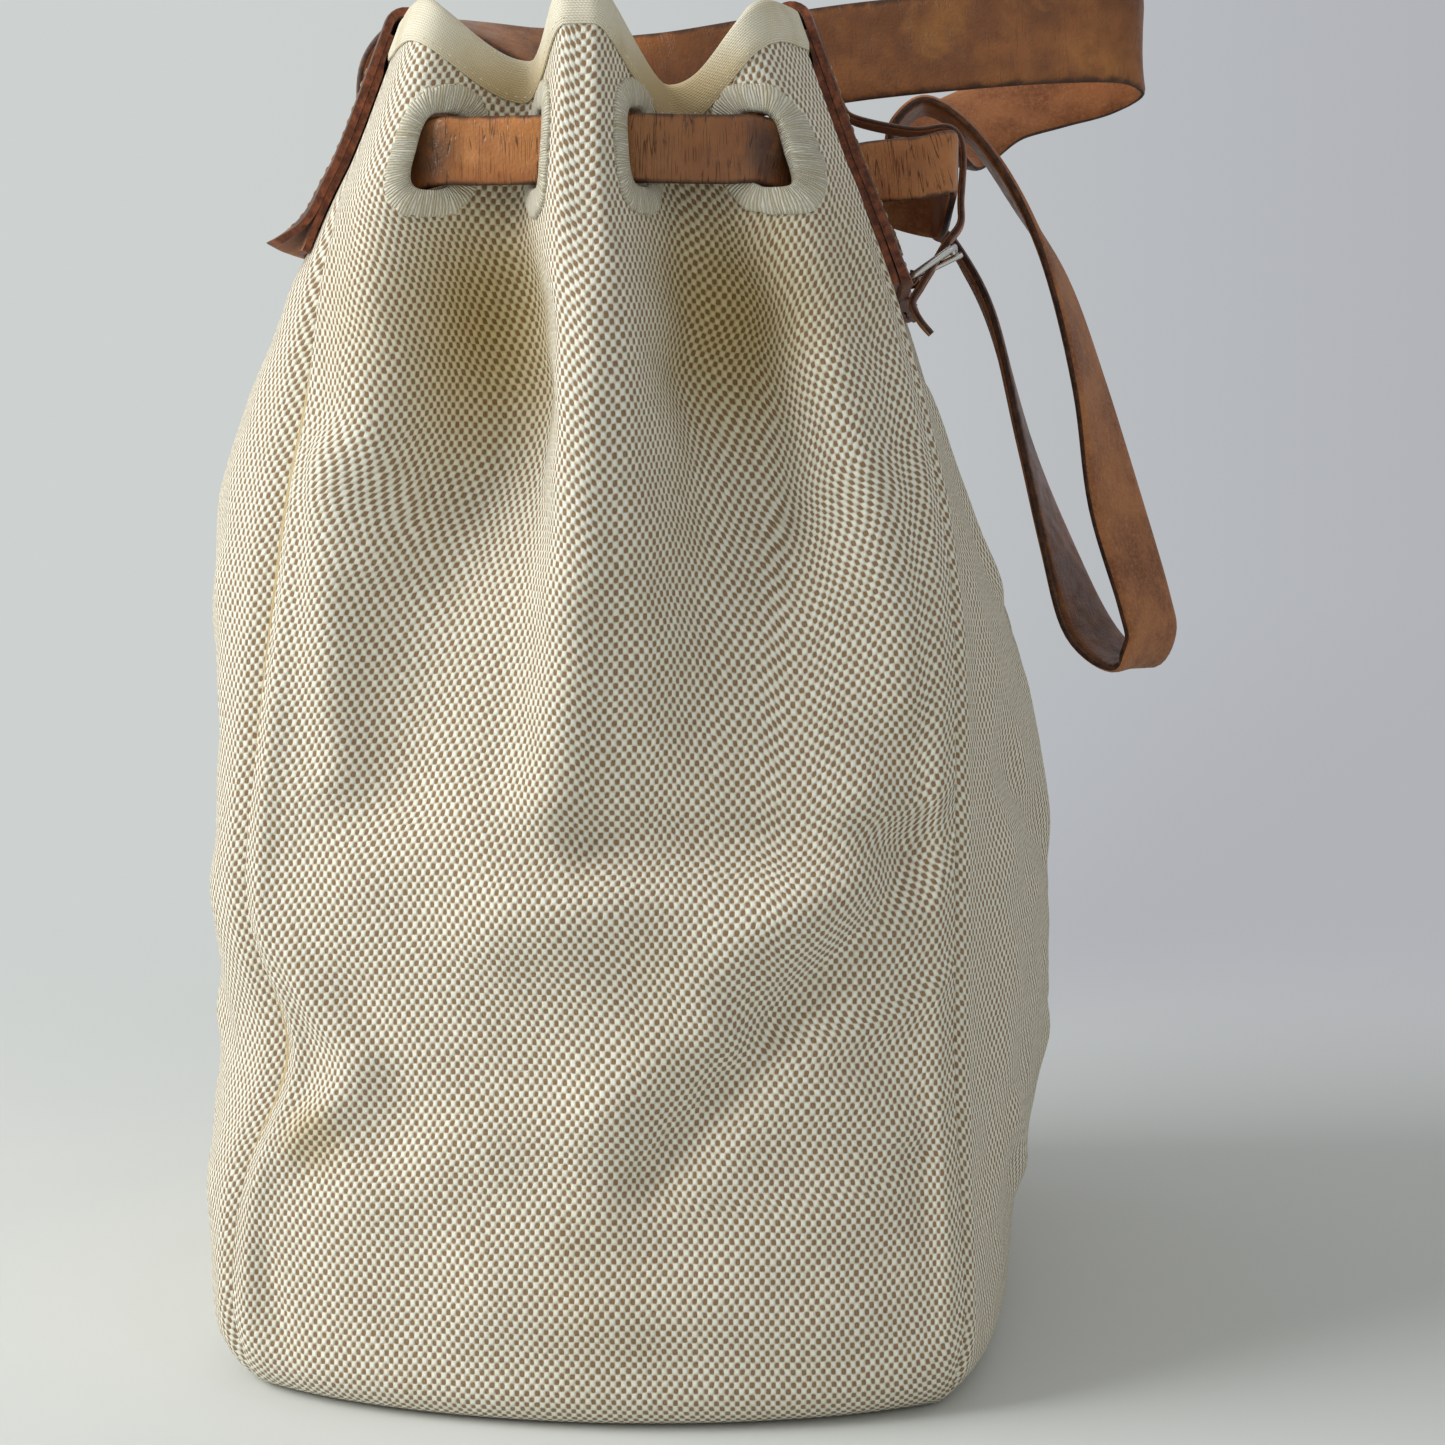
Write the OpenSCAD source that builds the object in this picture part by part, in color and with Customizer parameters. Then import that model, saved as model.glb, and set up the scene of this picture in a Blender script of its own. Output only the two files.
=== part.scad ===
// Bucket bag with a drawstring neck: sewn canvas body, leather patches, belt-like
// drawstring, buckled closure strap and one long shoulder strap.
// Frame: origin on the floor at the centre of the base, +X towards the closure (front),
// -Y towards the end panel with the clearest folds, +Z up. Millimetres.

/* [Canvas body] */
// Distance between the two seams of an end panel at the belly
end_panel_w = 168; // [150:2:190]
// Distance between the two end panels' seams at the belly
side_panel_w = 208; // [190:2:230]
// Extra seam-to-seam size where the base holds the corners out
base_spread = 8; // [0:1:14]
// Height of the rim at its ridges
rim_h = 322; // [300:2:350]
// Thickness of the canvas wall
canvas_t = 1.6; // [1.2:0.2:2.4]
// Outward bulge of each end panel at the base
end_bulge = 19; // [10:1:26]
// Outward bulge of each end panel at the gathered neck
neck_bulge = 42; // [32:1:50]
// Belly of the front panel
front_belly = 24; // [14:1:32]
// Belly of the back panel
back_belly = 17; // [12:1:22]
// Bulge of the back panel at its fullest, below the neck
back_full = 25; // [20:1:28]
// How far the seam between the back and the left end is drawn in
seam_in = 8; // [0:1:9]
// Height of the widest belly
belly_z = 100; // [80:5:130]
// Rounding of the edge that the bag stands on
foot_r = 10; // [7:1:14]
// Thickness of the stiffening board inside the base
board_t = 2.4; // [1.6:0.2:4]
// Gap between the board and the canvas around it
board_gap = 3; // [1:0.5:6]

/* [Gathered neck] */
// Height where the walls start to lean in
shoulder_z = 165; // [150:5:190]
// Height of the drawstring and its slots
slot_z = 289; // [280:1:294]
// Seam-to-seam size of an end panel at the drawstring
neck_w = 114; // [104:2:124]
// Size between the end panels' seams at the drawstring
neck_l = 184; // [170:2:196]
// Seam-to-seam size of an end panel at the rim
rim_w = 90; // [80:2:100]
// Size between the end panels' seams at the rim
rim_l = 176; // [164:2:188]
// Depth of the two folds in each end panel
fold_depth = 28; // [20:1:32]
// How far the rim drops into the wider fold
rim_dip = 19; // [8:1:20]
// Width of the tape bound over the rim
binding_w = 8; // [6:0.5:9]
// Thickness of the rim tape
binding_t = 0.9; // [0.6:0.1:1.4]

/* [Slots] */
// Width of an embroidered slot
slot_w = 12; // [10:0.5:13]
// Height of an embroidered slot
slot_h = 19; // [18:0.5:20]
// Width of the stitched border around a slot
stitch_w = 3.5; // [3:0.5:4.5]
// How far the stitching stands proud of the canvas
stitch_t = 0.9; // [0.6:0.1:1.2]

/* [Drawstring] */
// Width of the drawstring strap
draw_w = 15; // [13:0.5:16]
// Thickness of the drawstring strap
draw_t = 3; // [2.4:0.2:3.6]
// How far the drawstring's loop stands out of the front patch
loop_out = 22; // [16:1:28]
// Where the loop leaves the patch, on the near side
loop_near_y = -45; // [-48:1:-40]
// Where the loop goes back in, on the far side
loop_far_y = -5; // [-10:1:-4]

/* [Patches] */
// Width of each leather patch
patch_w = 168; // [154:2:172]
// Height of the front patch's outer leaf below the rim
front_patch_h = 62; // [52:1:70]
// Height of the back patch's outer leaf below the rim
back_patch_h = 54; // [50:1:70]
// Height of a patch's inner flap
flap_h = 16; // [12:1:20]
// Thickness of the patch leather
patch_t = 2.4; // [1.8:0.2:3]
// Thickness of the patch's lining leather
lining_t = 1.2; // [0.8:0.1:1.8]

/* [Closure] */
// Width of the closure strap
closure_w = 13; // [10:1:16]
// Thickness of the closure strap
closure_t = 1.8; // [1.4:0.2:2.2]
// Where the closure strap lies across the front patch
closure_y = -25; // [-28:1:-22]
// Wire diameter of the buckle
buckle_wire = 1.8; // [1.6:0.1:2.2]
// Length of the buckle frame, from its bar to its far side
buckle_h = 12; // [11:0.5:13]
// Outward lean of the closure strap where it runs through the buckle
buckle_lean = 31; // [29:1:33]

/* [Shoulder strap] */
// Width of the shoulder strap
strap_w = 27; // [22:1:30]
// Thickness of the shoulder strap
strap_t = 3; // [2.4:0.2:3.6]
// Where the strap is sewn on the front patch
strap_y = 17; // [14:1:22]
// Height of the strap's sewn ends
tab_h = 20; // [16:1:24]

/* [Hidden] */
$fn = 72;

canvas_c = "#cfc5ad";
tape_c = "#e6dfcb";
leather_c = "#9a5a30";
edge_c = "#5c3420";
metal_c = "#c9c9c6";

seat_gap = 0.15;          // gap between layers that lie on each other
sewn_gap = 0.5;           // sewn leather that follows a curved face clears it by this
slit_w = 7;               // width of the front slits for the drawstring's loop
foot_corner_h = 28;       // height of the rounding at the lower panel corners
belly_span = 15;          // flat stretch above the belly before it draws in
neck_hollow = 3;          // the patches press the neck in by this much
hollow_z = slot_z - 27;   // height from which they do
full_z = 205;             // height where the back is fullest
low_full_z = 60;          // and where its lower part is full
back_neck = 6;            // bulge of the back at the neck
fold_start = 120;         // height where the folds begin
rim_dip_far = 9;          // dip of the front rim under the shoulder strap
nudge = 0.002;            // step for surface directions, as a share of one panel

// Each fold of an end panel: gentle outer crest, bottom and steep inner crest,
// as shares of half the panel's width.
fold_left = [-0.86, -0.28, -0.03];
fold_right = [0.94, 0.34, 0.09];
// The four slots of an end panel, as shares of the panel's width
end_slots = [0.2125, 0.4175, 0.6075, 0.85];

// ---------- small helpers ----------
function ease(t) = let (k = min(1, max(0, t))) k * k * (3 - 2 * k);
function ramp(v, low, high) = ease((v - low) / (high - low));
function mix(a, b, t) = a + (b - a) * t;
function unit(v) = v / norm(v);
function wrap4(s) = s - 4 * floor(s / 4);
function spread(a, b, n) = [for (i = [0:n - 1]) mix(a, b, i / n)];

// ---------- the body's outer surface ----------
// s runs round the bag, one unit a panel: 0 to 1 left end (-Y), 1 to 2 front (+X),
// 2 to 3 right end (+Y), 3 to 4 back (-X). Whole numbers are the seams.
function taper(z, low, neck, top) = z < slot_z
    ? low - (low - neck) * pow(max(0, (z - shoulder_z) / (slot_z - shoulder_z)), 2)
    : mix(neck, top, (z - slot_z) / (rim_h - slot_z));
function spread_out(z) = base_spread / 2 * (1 - ramp(z, 0, belly_z));
function foot_h(u) = foot_r + (foot_corner_h - foot_r) * pow(u, 8);
function foot_inset(z, u) = let (k = min(1, max(0, 1 - z / foot_h(u))))
    foot_r * (1 - sqrt(1 - k * k));
function half_x(z, u) = taper(z, end_panel_w / 2, neck_w / 2, rim_w / 2)
    + spread_out(z) - foot_inset(z, u);
function half_y(z, u) = taper(z, side_panel_w / 2, neck_l / 2, rim_l / 2)
    + spread_out(z) - foot_inset(z, u);
function one_fold(u, f) = (u - f[1]) * (f[0] - f[1]) > 0
    ? ease((u - f[0]) / (f[1] - f[0]))
    : ease((u - f[2]) / (f[1] - f[2]));
function gather(z) = ramp(z, fold_start, slot_z);
function end_out(z, u) = let (g = gather(z))
    mix(end_bulge, neck_bulge, g) * (1 - pow(abs(u), 2 + 2 * g))
    - g * fold_depth * (one_fold(u, fold_left) + one_fold(u, fold_right));
function front_out(z, u) = let (low = mix(foot_r, front_belly, ramp(z, 0, belly_z)))
    mix(low, -neck_hollow, ramp(z, belly_z + belly_span, hollow_z)) * (1 - u * u);
function back_out(z, u) = let (
    low = mix(foot_r, back_belly, ramp(z, 0, low_full_z)),
    high = mix(low, back_full, ramp(z, belly_z + 2 * belly_span, full_z))
) mix(high, back_neck, ramp(z, full_z + belly_span, slot_z + 11)) * (1 - pow(u, 6));
// The seam between the back and the left end is drawn in below the neck
function seam_draw(z) = seam_in * ramp(z, belly_z + 10, shoulder_z + 35)
    * (1 - ramp(z, shoulder_z + 60, slot_z));

function skin(s, z) = let (
    t = wrap4(s),
    side = floor(t),
    u = 2 * (t - side) - 1,
    hx = half_x(z, u),
    hy = half_y(z, u)
) side == 0 ? [hx * u + seam_draw(z) * (1 - u) / 2, -hy - end_out(z, u), z]
    : side == 1 ? [hx + front_out(z, u), hy * u, z]
    : side == 2 ? [-hx * u, hy + end_out(z, -u), z]
    : [-hx - back_out(z, u) + seam_draw(z) * (1 + u) / 2, -hy * u, z];

// Height of the rim: it drops into the folds and, a little, at the front's far end
function rim_z(s) = let (
    t = wrap4(s),
    side = floor(t),
    v = 2 * (t - side) - 1,
    u = side == 2 ? -v : v
) side == 0 || side == 2
    ? rim_h - rim_dip * (0.7 * one_fold(u, fold_left) + one_fold(u, fold_right))
    : side == 1 ? rim_h - rim_dip_far * ramp(u, 0.3, 0.66) * (1 - ramp(u, 0.8, 1)) : rim_h;

// Outward direction of the surface, level at the very bottom
function outward(s, z) = z < 0.01 ? [0, 0, -1] : unit(cross(
    skin(s + nudge, z) - skin(s - nudge, z),
    skin(s, z + 1) - skin(s, max(0, z - 1))));
function on_skin(s, z, off) = skin(s, z) + off * outward(s, z);
function s_speed(s, z) = norm(skin(s + nudge, z) - skin(s - nudge, z)) / (2 * nudge);
function z_speed(s, z) = norm(skin(s, z + 1) - skin(s, z - 1)) / 2;

// Share round the front or the back at a given y
function front_s(y, z) = 1.5 + y / (2 * half_y(z, 0));
function back_s(y, z) = 3.5 - y / (2 * half_y(z, 0));

// ---------- solids from grids of points ----------
// A wall between two grids: pt(i, j, 0) is its outside, pt(i, j, 1) its inside.
// keep(i, j) leaves cells out to make openings; wrap joins the last column to the first.
module grid_solid(rows, cols, pt, keep = function (i, j) true, wrap = false) {
    count = rows * cols;
    next = function (j) wrap ? (j + 1) % cols : j + 1;
    last_j = wrap ? cols - 1 : cols - 2;
    there = function (i, j) i >= 0 && i < rows - 1 && (wrap || (j >= 0 && j <= last_j))
        && keep(i, (j + cols) % cols);
    points = [for (side = [0, 1]) for (i = [0:rows - 1]) for (j = [0:cols - 1]) pt(i, j, side)];
    faces = [
        for (i = [0:rows - 2]) for (j = [0:last_j]) if (there(i, j))
            let (
                a = i * cols + j, b = a + cols, d = i * cols + next(j), c = d + cols,
                a1 = a + count, b1 = b + count, c1 = c + count, d1 = d + count
            ) each concat(
                [[a, b, c], [a, c, d], [a1, c1, b1], [a1, d1, c1]],
                there(i, j - 1) ? [] : [[b, a, b1], [a, a1, b1]],
                there(i, j + 1) ? [] : [[d, c, c1], [d, c1, d1]],
                there(i + 1, j) ? [] : [[c, b, b1], [c, b1, c1]],
                there(i - 1, j) ? [] : [[a, d, d1], [a, d1, a1]]
            )
    ];
    polyhedron(points, faces, convexity = 10);
}

// A tube through rings of points, closed on itself or capped at its ends
module ring_solid(rings, closed = false) {
    n = len(rings[0]);
    m = len(rings);
    last = closed ? m - 1 : m - 2;
    sides = [for (i = [0:last]) for (j = [0:n - 1]) let (
        a = i * n + j, b = i * n + (j + 1) % n,
        c = ((i + 1) % m) * n + (j + 1) % n, d = ((i + 1) % m) * n + j
    ) each [[a, b, c], [a, c, d]]];
    caps = closed ? [] : [
        [for (j = [0:n - 1]) n - 1 - j],
        [for (j = [0:n - 1]) (m - 1) * n + j]
    ];
    polyhedron([for (r = rings) each r], concat(sides, caps), convexity = 10);
}

// ---------- canvas panels ----------
// Rows of a panel: rounded foot, wall, slot zone, then up to the rim
foot_rows = 3;
wall_rows = 11;
zone_rows = 4;
top_rows = 3;
row_k = concat(spread(0, 1, foot_rows), spread(1, 2, wall_rows), spread(2, 3, zone_rows),
    spread(3, 4, top_rows), [4]);
first_zone_row = foot_rows + wall_rows;
function zone_low() = slot_z - slot_h / 2;
function zone_high(s) = min(slot_z + slot_h / 2, rim_z(s) - 2.5);
function row_z(k, s) = let (t = wrap4(s), u = 2 * (t - floor(t)) - 1)
    k <= 1 ? foot_h(u) * (1 - cos(90 * k))
    : k <= 2 ? mix(foot_h(u), zone_low(), k - 1)
    : k <= 3 ? mix(zone_low(), zone_high(s), k - 2)
    : mix(zone_high(s), rim_z(s), k - 3);

// Columns between two shares: two columns for each slot, even ones between
function slot_half(s, w) = w / 2 / s_speed(s, slot_z);
function split_cols(from, to, slots, w, step) = let (
    sides = [for (s = slots) each [s - slot_half(s, w), s + slot_half(s, w)]],
    edges = concat([from], sides, [to])
) [
    for (i = [0:len(edges) - 2]) each i % 2 == 1
        ? spread(edges[i], edges[i + 1], 2)
        : spread(edges[i], edges[i + 1], max(2, ceil((edges[i + 1] - edges[i]) / step))),
    to
];
function panel_cols(from, slots, w) = split_cols(from, from + 1, slots, w, 0.05);

// Corners of a slot's cells are drawn in by this share, so that the opening is oval
slot_round = 0.15;
function in_slot(s, slots, w) = [for (c = slots) if (abs(s - c) < slot_half(c, w) * 0.99) c];
function slot_shift(s, k, slots, w) = k < 1.99 || k > 3.01 ? 0 : [
    for (c = slots) let (h = slot_half(c, w), d = s - c)
        if (abs(abs(d) - h) < h * 0.01 && (abs(k - 2) < 0.01 || abs(k - 3) < 0.01)) -slot_round * d
][0];
function known(v) = is_undef(v) ? 0 : v;

module canvas_panel(from, slots, w) {
    cols = panel_cols(from, slots, w);
    mid = [for (j = [0:len(cols) - 2]) (cols[j] + cols[j + 1]) / 2];
    grid_solid(len(row_k), len(cols),
        function (i, j, side) let (
            s = cols[j] + known(slot_shift(cols[j], row_k[i], slots, w))
        ) on_skin(s, row_z(row_k[i], cols[j]), -canvas_t * side),
        function (i, j) !(i >= first_zone_row && i < first_zone_row + zone_rows
            && len(in_slot(mid[j], slots, w)) > 0));
}

far_slots = [for (i = [3:-1:0]) 3 - end_slots[i]];
front_slits = [front_s(loop_near_y, slot_z), front_s(loop_far_y, slot_z)];

// Columns all round the bag
round_cols = [
    for (c = [panel_cols(0, end_slots, slot_w), panel_cols(1, front_slits, slit_w),
        panel_cols(2, far_slots, slot_w), panel_cols(3, [], slot_w)])
        for (j = [0:len(c) - 2]) c[j]
];

module left_end_panel() {
    color(canvas_c) canvas_panel(0, end_slots, slot_w);
}
module right_end_panel() {
    color(canvas_c) canvas_panel(2, far_slots, slot_w);
}
module front_panel() {
    color(canvas_c) canvas_panel(1, front_slits, slit_w);
}
module back_panel() {
    color(canvas_c) canvas_panel(3, [], slot_w);
}

// The base has the same outline points as the walls that stand round it
function base_outline(inset) = [
    for (s = round_cols) let (p = skin(s, 0)) [p.x, p.y] * (1 - inset / norm([p.x, p.y]))
];
module base_panel() {
    color(canvas_c) linear_extrude(canvas_t) polygon(base_outline(0));
}
module base_board() {
    color(edge_c) translate([0, 0, canvas_t + seat_gap])
        linear_extrude(board_t) polygon(base_outline(board_gap + foot_r / 2));
}

// Tape over the seams' raw edges, inside
tape_half = 5;
tape_t = 0.6;
tape_lift = 0.7;          // the tape bridges the seam's corner by this much
seam_room = 2;            // the drawstring keeps this far from the tape over the seams
module seam_tape(seam) {
    width = tape_half / s_speed(seam + 0.2, belly_z);
    color(tape_c) grid_solid(wall_rows + zone_rows + 1, 5,
        function (i, j, side) let (s = seam + width * (j - 2) / 2)
            on_skin(s, row_z(row_k[foot_rows + i], s), -canvas_t - tape_lift - tape_t * side));
}
module left_seam_tape() {
    seam_tape(0);
    seam_tape(1);
}
module right_seam_tape() {
    seam_tape(2);
    seam_tape(3);
}

// ---------- things folded over the rim ----------
// A saddle at share s: its profile goes up the outside, over the rim and down the
// inside. r is its distance from the middle of the canvas.
saddle_arc = 4;
function saddle_pt(s, r, out_h, in_h, rows_out, rows_in, i) = let (
    rim = rim_z(s),
    level = outward(s, rim),
    arc_from = rows_out,
    arc_to = rows_out + saddle_arc
) i <= arc_from ? on_skin(s, mix(rim - out_h, rim, i / rows_out), r - canvas_t / 2)
    : i < arc_to ? let (
        a = 180 * (i - arc_from) / saddle_arc,
        up = unit(cross(cross(level, [0, 0, 1]), level))
    ) skin(s, rim) + level * (r * cos(a) - canvas_t / 2) + up * r * sin(a)
    : on_skin(s, mix(rim, rim - in_h, (i - arc_to) / rows_in), -r - canvas_t / 2);

module rim_binding() {
    near = canvas_t / 2 + seat_gap;
    color(tape_c) grid_solid(2 + saddle_arc + 1, len(round_cols),
        function (i, j, side) saddle_pt(round_cols[j], side == 0 ? near + binding_t : near,
            binding_w, binding_w, 1, 1, i),
        wrap = true);
}

leaf_in = canvas_t / 2 + binding_t + lining_t + seat_gap;
front_lift = 0.6;         // a patch's free lower edge stands off the canvas by up to this
back_lift = 5;
function flap_lift(z, lift, low) = lift * pow(max(0, (zone_low() - z) / (zone_low() - low)), 2);
module patch(mid_s, out_h, slits, lift) {
    half = patch_w / 2 / s_speed(mid_s, slot_z);
    cols = split_cols(mid_s - half, mid_s + half, slits, slit_w, 0.07);
    mid = [for (j = [0:len(cols) - 2]) (cols[j] + cols[j + 1]) / 2];
    low = rim_h - out_h;
    // the leaf's rows: below the slits, beside them, above them, over the rim, inside
    leaf_k = concat(spread(0, 1, 3), spread(1, 2, 4), spread(2, 3, 2), [3]);
    leaf_z = function (k, s) k <= 1 ? mix(low, zone_low(), k)
        : k <= 2 ? mix(zone_low(), slot_z + slot_h / 2, k - 1)
        : mix(slot_z + slot_h / 2, rim_z(s), k - 2);
    n = len(leaf_k);
    color(leather_c) grid_solid(n + saddle_arc + 2, len(cols),
        function (i, j, side) let (r = leaf_in + (side == 0 ? patch_t : 0))
            i < n ? let (z = leaf_z(leaf_k[i], cols[j]))
                on_skin(cols[j], z, r - canvas_t / 2 + flap_lift(z, lift, low))
            : saddle_pt(cols[j], r, out_h, flap_h, 1, 2, i - n + 2),
        function (i, j) !(i >= 3 && i < 7 && len(in_slot(mid[j], slits, slit_w)) > 0));
}
module front_patch() {
    patch(1.5, front_patch_h, front_slits, front_lift);
}
module back_patch() {
    patch(3.5, back_patch_h, [], back_lift);
}

// Lining leather between a patch and the canvas, up to the rim tape
module patch_lining(mid_s, out_h, slits) {
    half = (patch_w / 2 - 1.5) / s_speed(mid_s, slot_z);
    high = rim_h - rim_dip_far - binding_w - 1;
    cols = split_cols(mid_s - half, mid_s + half, slits, slit_w, 0.09);
    mid = [for (j = [0:len(cols) - 2]) (cols[j] + cols[j + 1]) / 2];
    zs = concat(spread(rim_h - out_h + 1, zone_low(), 3),
        spread(zone_low(), slot_z + slot_h / 2, 4), spread(slot_z + slot_h / 2, high, 1), [high]);
    color(leather_c) grid_solid(len(zs), len(cols),
        function (i, j, side) on_skin(cols[j], zs[i], side == 0 ? sewn_gap + lining_t : sewn_gap),
        function (i, j) !(i >= 3 && i < 7 && len(in_slot(mid[j], slits, slit_w)) > 0));
}
module front_patch_lining() {
    patch_lining(1.5, front_patch_h, front_slits);
}
module back_patch_lining() {
    patch_lining(3.5, back_patch_h, []);
}

// ---------- embroidered slots ----------
// The stitching wraps the slot's edge and lies on both faces of the canvas.
stitch_steps = 16;
stitch_lip = 0.7;         // how far the threads reach into the slot
stitch_lift = 0.3;        // the threads bridge the folds by this much
square_up = 0.57;         // 1 makes the border an ellipse, less makes it squarer
function squared(v) = sign(v) * pow(abs(v), square_up);
function slot_pt(s, a, grow, off) = on_skin(
    s + (slot_w / 2 + grow) * squared(cos(a)) / s_speed(s, slot_z),
    slot_z + (slot_h / 2 + grow) * squared(sin(a)) / z_speed(s, slot_z), off);
module slot_ring(s) {
    outer = stitch_lift;
    inner = -canvas_t - stitch_lift;
    ring_solid([for (i = [0:stitch_steps - 1]) let (a = 360 * i / stitch_steps) [
        slot_pt(s, a, stitch_w, outer),
        slot_pt(s, a, stitch_w, outer + stitch_t * 0.6),
        slot_pt(s, a, stitch_w / 2, outer + stitch_t),
        slot_pt(s, a, -stitch_lip, stitch_t * 0.6),
        slot_pt(s, a, -stitch_lip, inner - stitch_t * 0.3),
        slot_pt(s, a, stitch_w / 2, inner - stitch_t),
        slot_pt(s, a, stitch_w, inner),
        slot_pt(s, a, -seat_gap, inner),
        slot_pt(s, a, -seat_gap, outer)
    ]], closed = true);
}
module left_slot_stitching() {
    color(tape_c) for (s = end_slots) slot_ring(s);
}
module right_slot_stitching() {
    color(tape_c) for (s = far_slots) slot_ring(s);
}

// ---------- straps ----------
// Smooth curve through a list of points; closed joins its ends
function at(list, i, closed) = closed ? list[(i + len(list)) % len(list)]
    : list[min(len(list) - 1, max(0, i))];
function curve(list, steps, closed = false) = [
    for (i = [0:(closed ? len(list) : len(list) - 1) - 1]) for (k = [0:steps - 1])
        let (
            t = k / steps, p0 = at(list, i - 1, closed), p1 = at(list, i, closed),
            p2 = at(list, i + 1, closed), p3 = at(list, i + 2, closed)
        ) 0.5 * (2 * p1 + (p2 - p0) * t + (2 * p0 - 5 * p1 + 4 * p2 - p3) * t * t
            + (3 * p1 - p0 - 3 * p2 + p3) * t * t * t),
    if (!closed) list[len(list) - 1]
];
// Cross-section of a flat strap: across is its width's direction
function strap_ring(p, along, across, w, t) = let (
    side = unit(across - along * (across * along)),
    face = cross(along, side)
) [
    p - side * w / 2 - face * t / 2, p - side * w / 2 + face * t / 2,
    p + side * w / 2 + face * t / 2, p + side * w / 2 - face * t / 2
];
function heading(path, i, closed) = unit(at(path, i + 1, closed) - at(path, i - 1, closed));
module flat_strap(path, across, w, t, closed = false) {
    ring_solid([for (i = [0:len(path) - 1])
        strap_ring(path[i], heading(path, i, closed), across[i], w, t)], closed);
}

// The drawstring weaves through the slots of both end panels, runs inside behind
// the ridges and patches, and comes out of the front patch as a loop.
inner_off = -canvas_t - tape_lift - tape_t - draw_t / 2 - seam_room;
slot_pass = 0.014;        // the drawstring runs off the middle of the corner slots
slit_pass = 0.007;        // and of the front slits
back_room = 1.5;          // it runs this much further in behind the flat of the back
function mid_wall(s) = on_skin(s, slot_z, -canvas_t / 2);
function between(a, b, t) = mix(mid_wall(a), mid_wall(b), t);
function end_route(slots, first, last) = [
    mid_wall(slots[0] + first), between(slots[0], slots[1], 0.33), between(slots[0], slots[1], 0.67),
    mid_wall(slots[1]), between(slots[1], slots[2], 0.5),
    mid_wall(slots[2]), between(slots[2], slots[3], 0.33), between(slots[2], slots[3], 0.67),
    mid_wall(slots[3] + last)
];
function inside_at(s) = on_skin(s, slot_z, inner_off);
patch_face = leaf_in + patch_t - canvas_t / 2;
loop_near = on_skin(front_slits[0], slot_z, patch_face);
loop_far = on_skin(front_slits[1], slot_z, patch_face);
loop_droop = 5;           // how far the loop's far corner hangs
loop_lift = 3;            // how far its near corner stands up
loop_route = [
    on_skin(front_slits[0] - slit_pass, slot_z, inner_off),
    loop_near,
    loop_near + [loop_out - 7, 0.5, loop_lift / 2],
    loop_near + [loop_out - 1.5, 2, loop_lift],
    loop_near + [loop_out, 7, loop_lift],
    loop_near + [loop_out - 1, (loop_far_y - loop_near_y) / 2, 0],
    loop_far + [loop_out - 2, -7, -loop_droop],
    loop_far + [loop_out - 4, -2, -loop_droop],
    loop_far + [loop_out - 10, -0.5, -loop_droop * 0.7],
    loop_far,
    on_skin(front_slits[1] + slit_pass, slot_z, inner_off)
];
draw_points = concat(
    end_route(end_slots, 0, -slot_pass),
    [inside_at(0.95), inside_at(1.06)],
    [on_skin(mix(1.06, front_slits[0], 0.6), slot_z, inner_off - 1)],
    loop_route,
    [on_skin(mix(front_slits[1], 1.94, 0.3), slot_z, inner_off - 1),
        on_skin(mix(front_slits[1], 1.94, 0.7), slot_z, inner_off - 1)],
    [inside_at(1.96), inside_at(2.07)],
    end_route(far_slots, slot_pass, 0),
    [inside_at(2.93)],
    [for (s = [3.05, 3.2, 3.4, 3.6, 3.8, 3.95]) on_skin(s, slot_z, inner_off - back_room)],
    [inside_at(4.07)]
);
module drawstring() {
    path = curve(draw_points, 3, closed = true);
    color(leather_c) flat_strap(path, [for (p = path) [0, 0, 1]], draw_w, draw_t, closed = true);
}

// ---------- closure ----------
// Outer face of the front patch at a given y and height, and its slope
function face_at(y, z, off) = on_skin(front_s(y, z), z, patch_face + off);
bar_r = buckle_wire / 2;
chape_t = 0.8;
pin_play = 0.35;          // running play of the prong and chape on the buckle's bar
bar_lift = sewn_gap + chape_t + pin_play + bar_r;
bar_z = rim_h - front_patch_h + 4;
bar_pos = let (p = face_at(closure_y, bar_z, bar_lift)) [p.x, closure_y, p.z];
frame_half_w = closure_w / 2 + bar_r + 2 * pin_play;
strap_over_bar = bar_r + pin_play + chape_t + seat_gap + closure_t / 2;
frame_rise = strap_over_bar + closure_t / 2 + pin_play + bar_r + 0.1;
frame_lean = atan(frame_rise / buckle_h);
frame_reach = norm([frame_rise, buckle_h]);
prong_w = 1.6;
slot_low = -3;            // punched slot in the closure strap for the prong, from the bar
slot_len = 11;

// Puts a piece drawn at the buckle's bar: +Z up the closure strap and +X out of it
module at_bar() {
    translate(bar_pos) rotate([0, buckle_lean, 0]) children();
}
function from_bar(x, z) = bar_pos + [
    x * cos(buckle_lean) + z * sin(buckle_lean), 0, z * cos(buckle_lean) - x * sin(buckle_lean)
];

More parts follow.
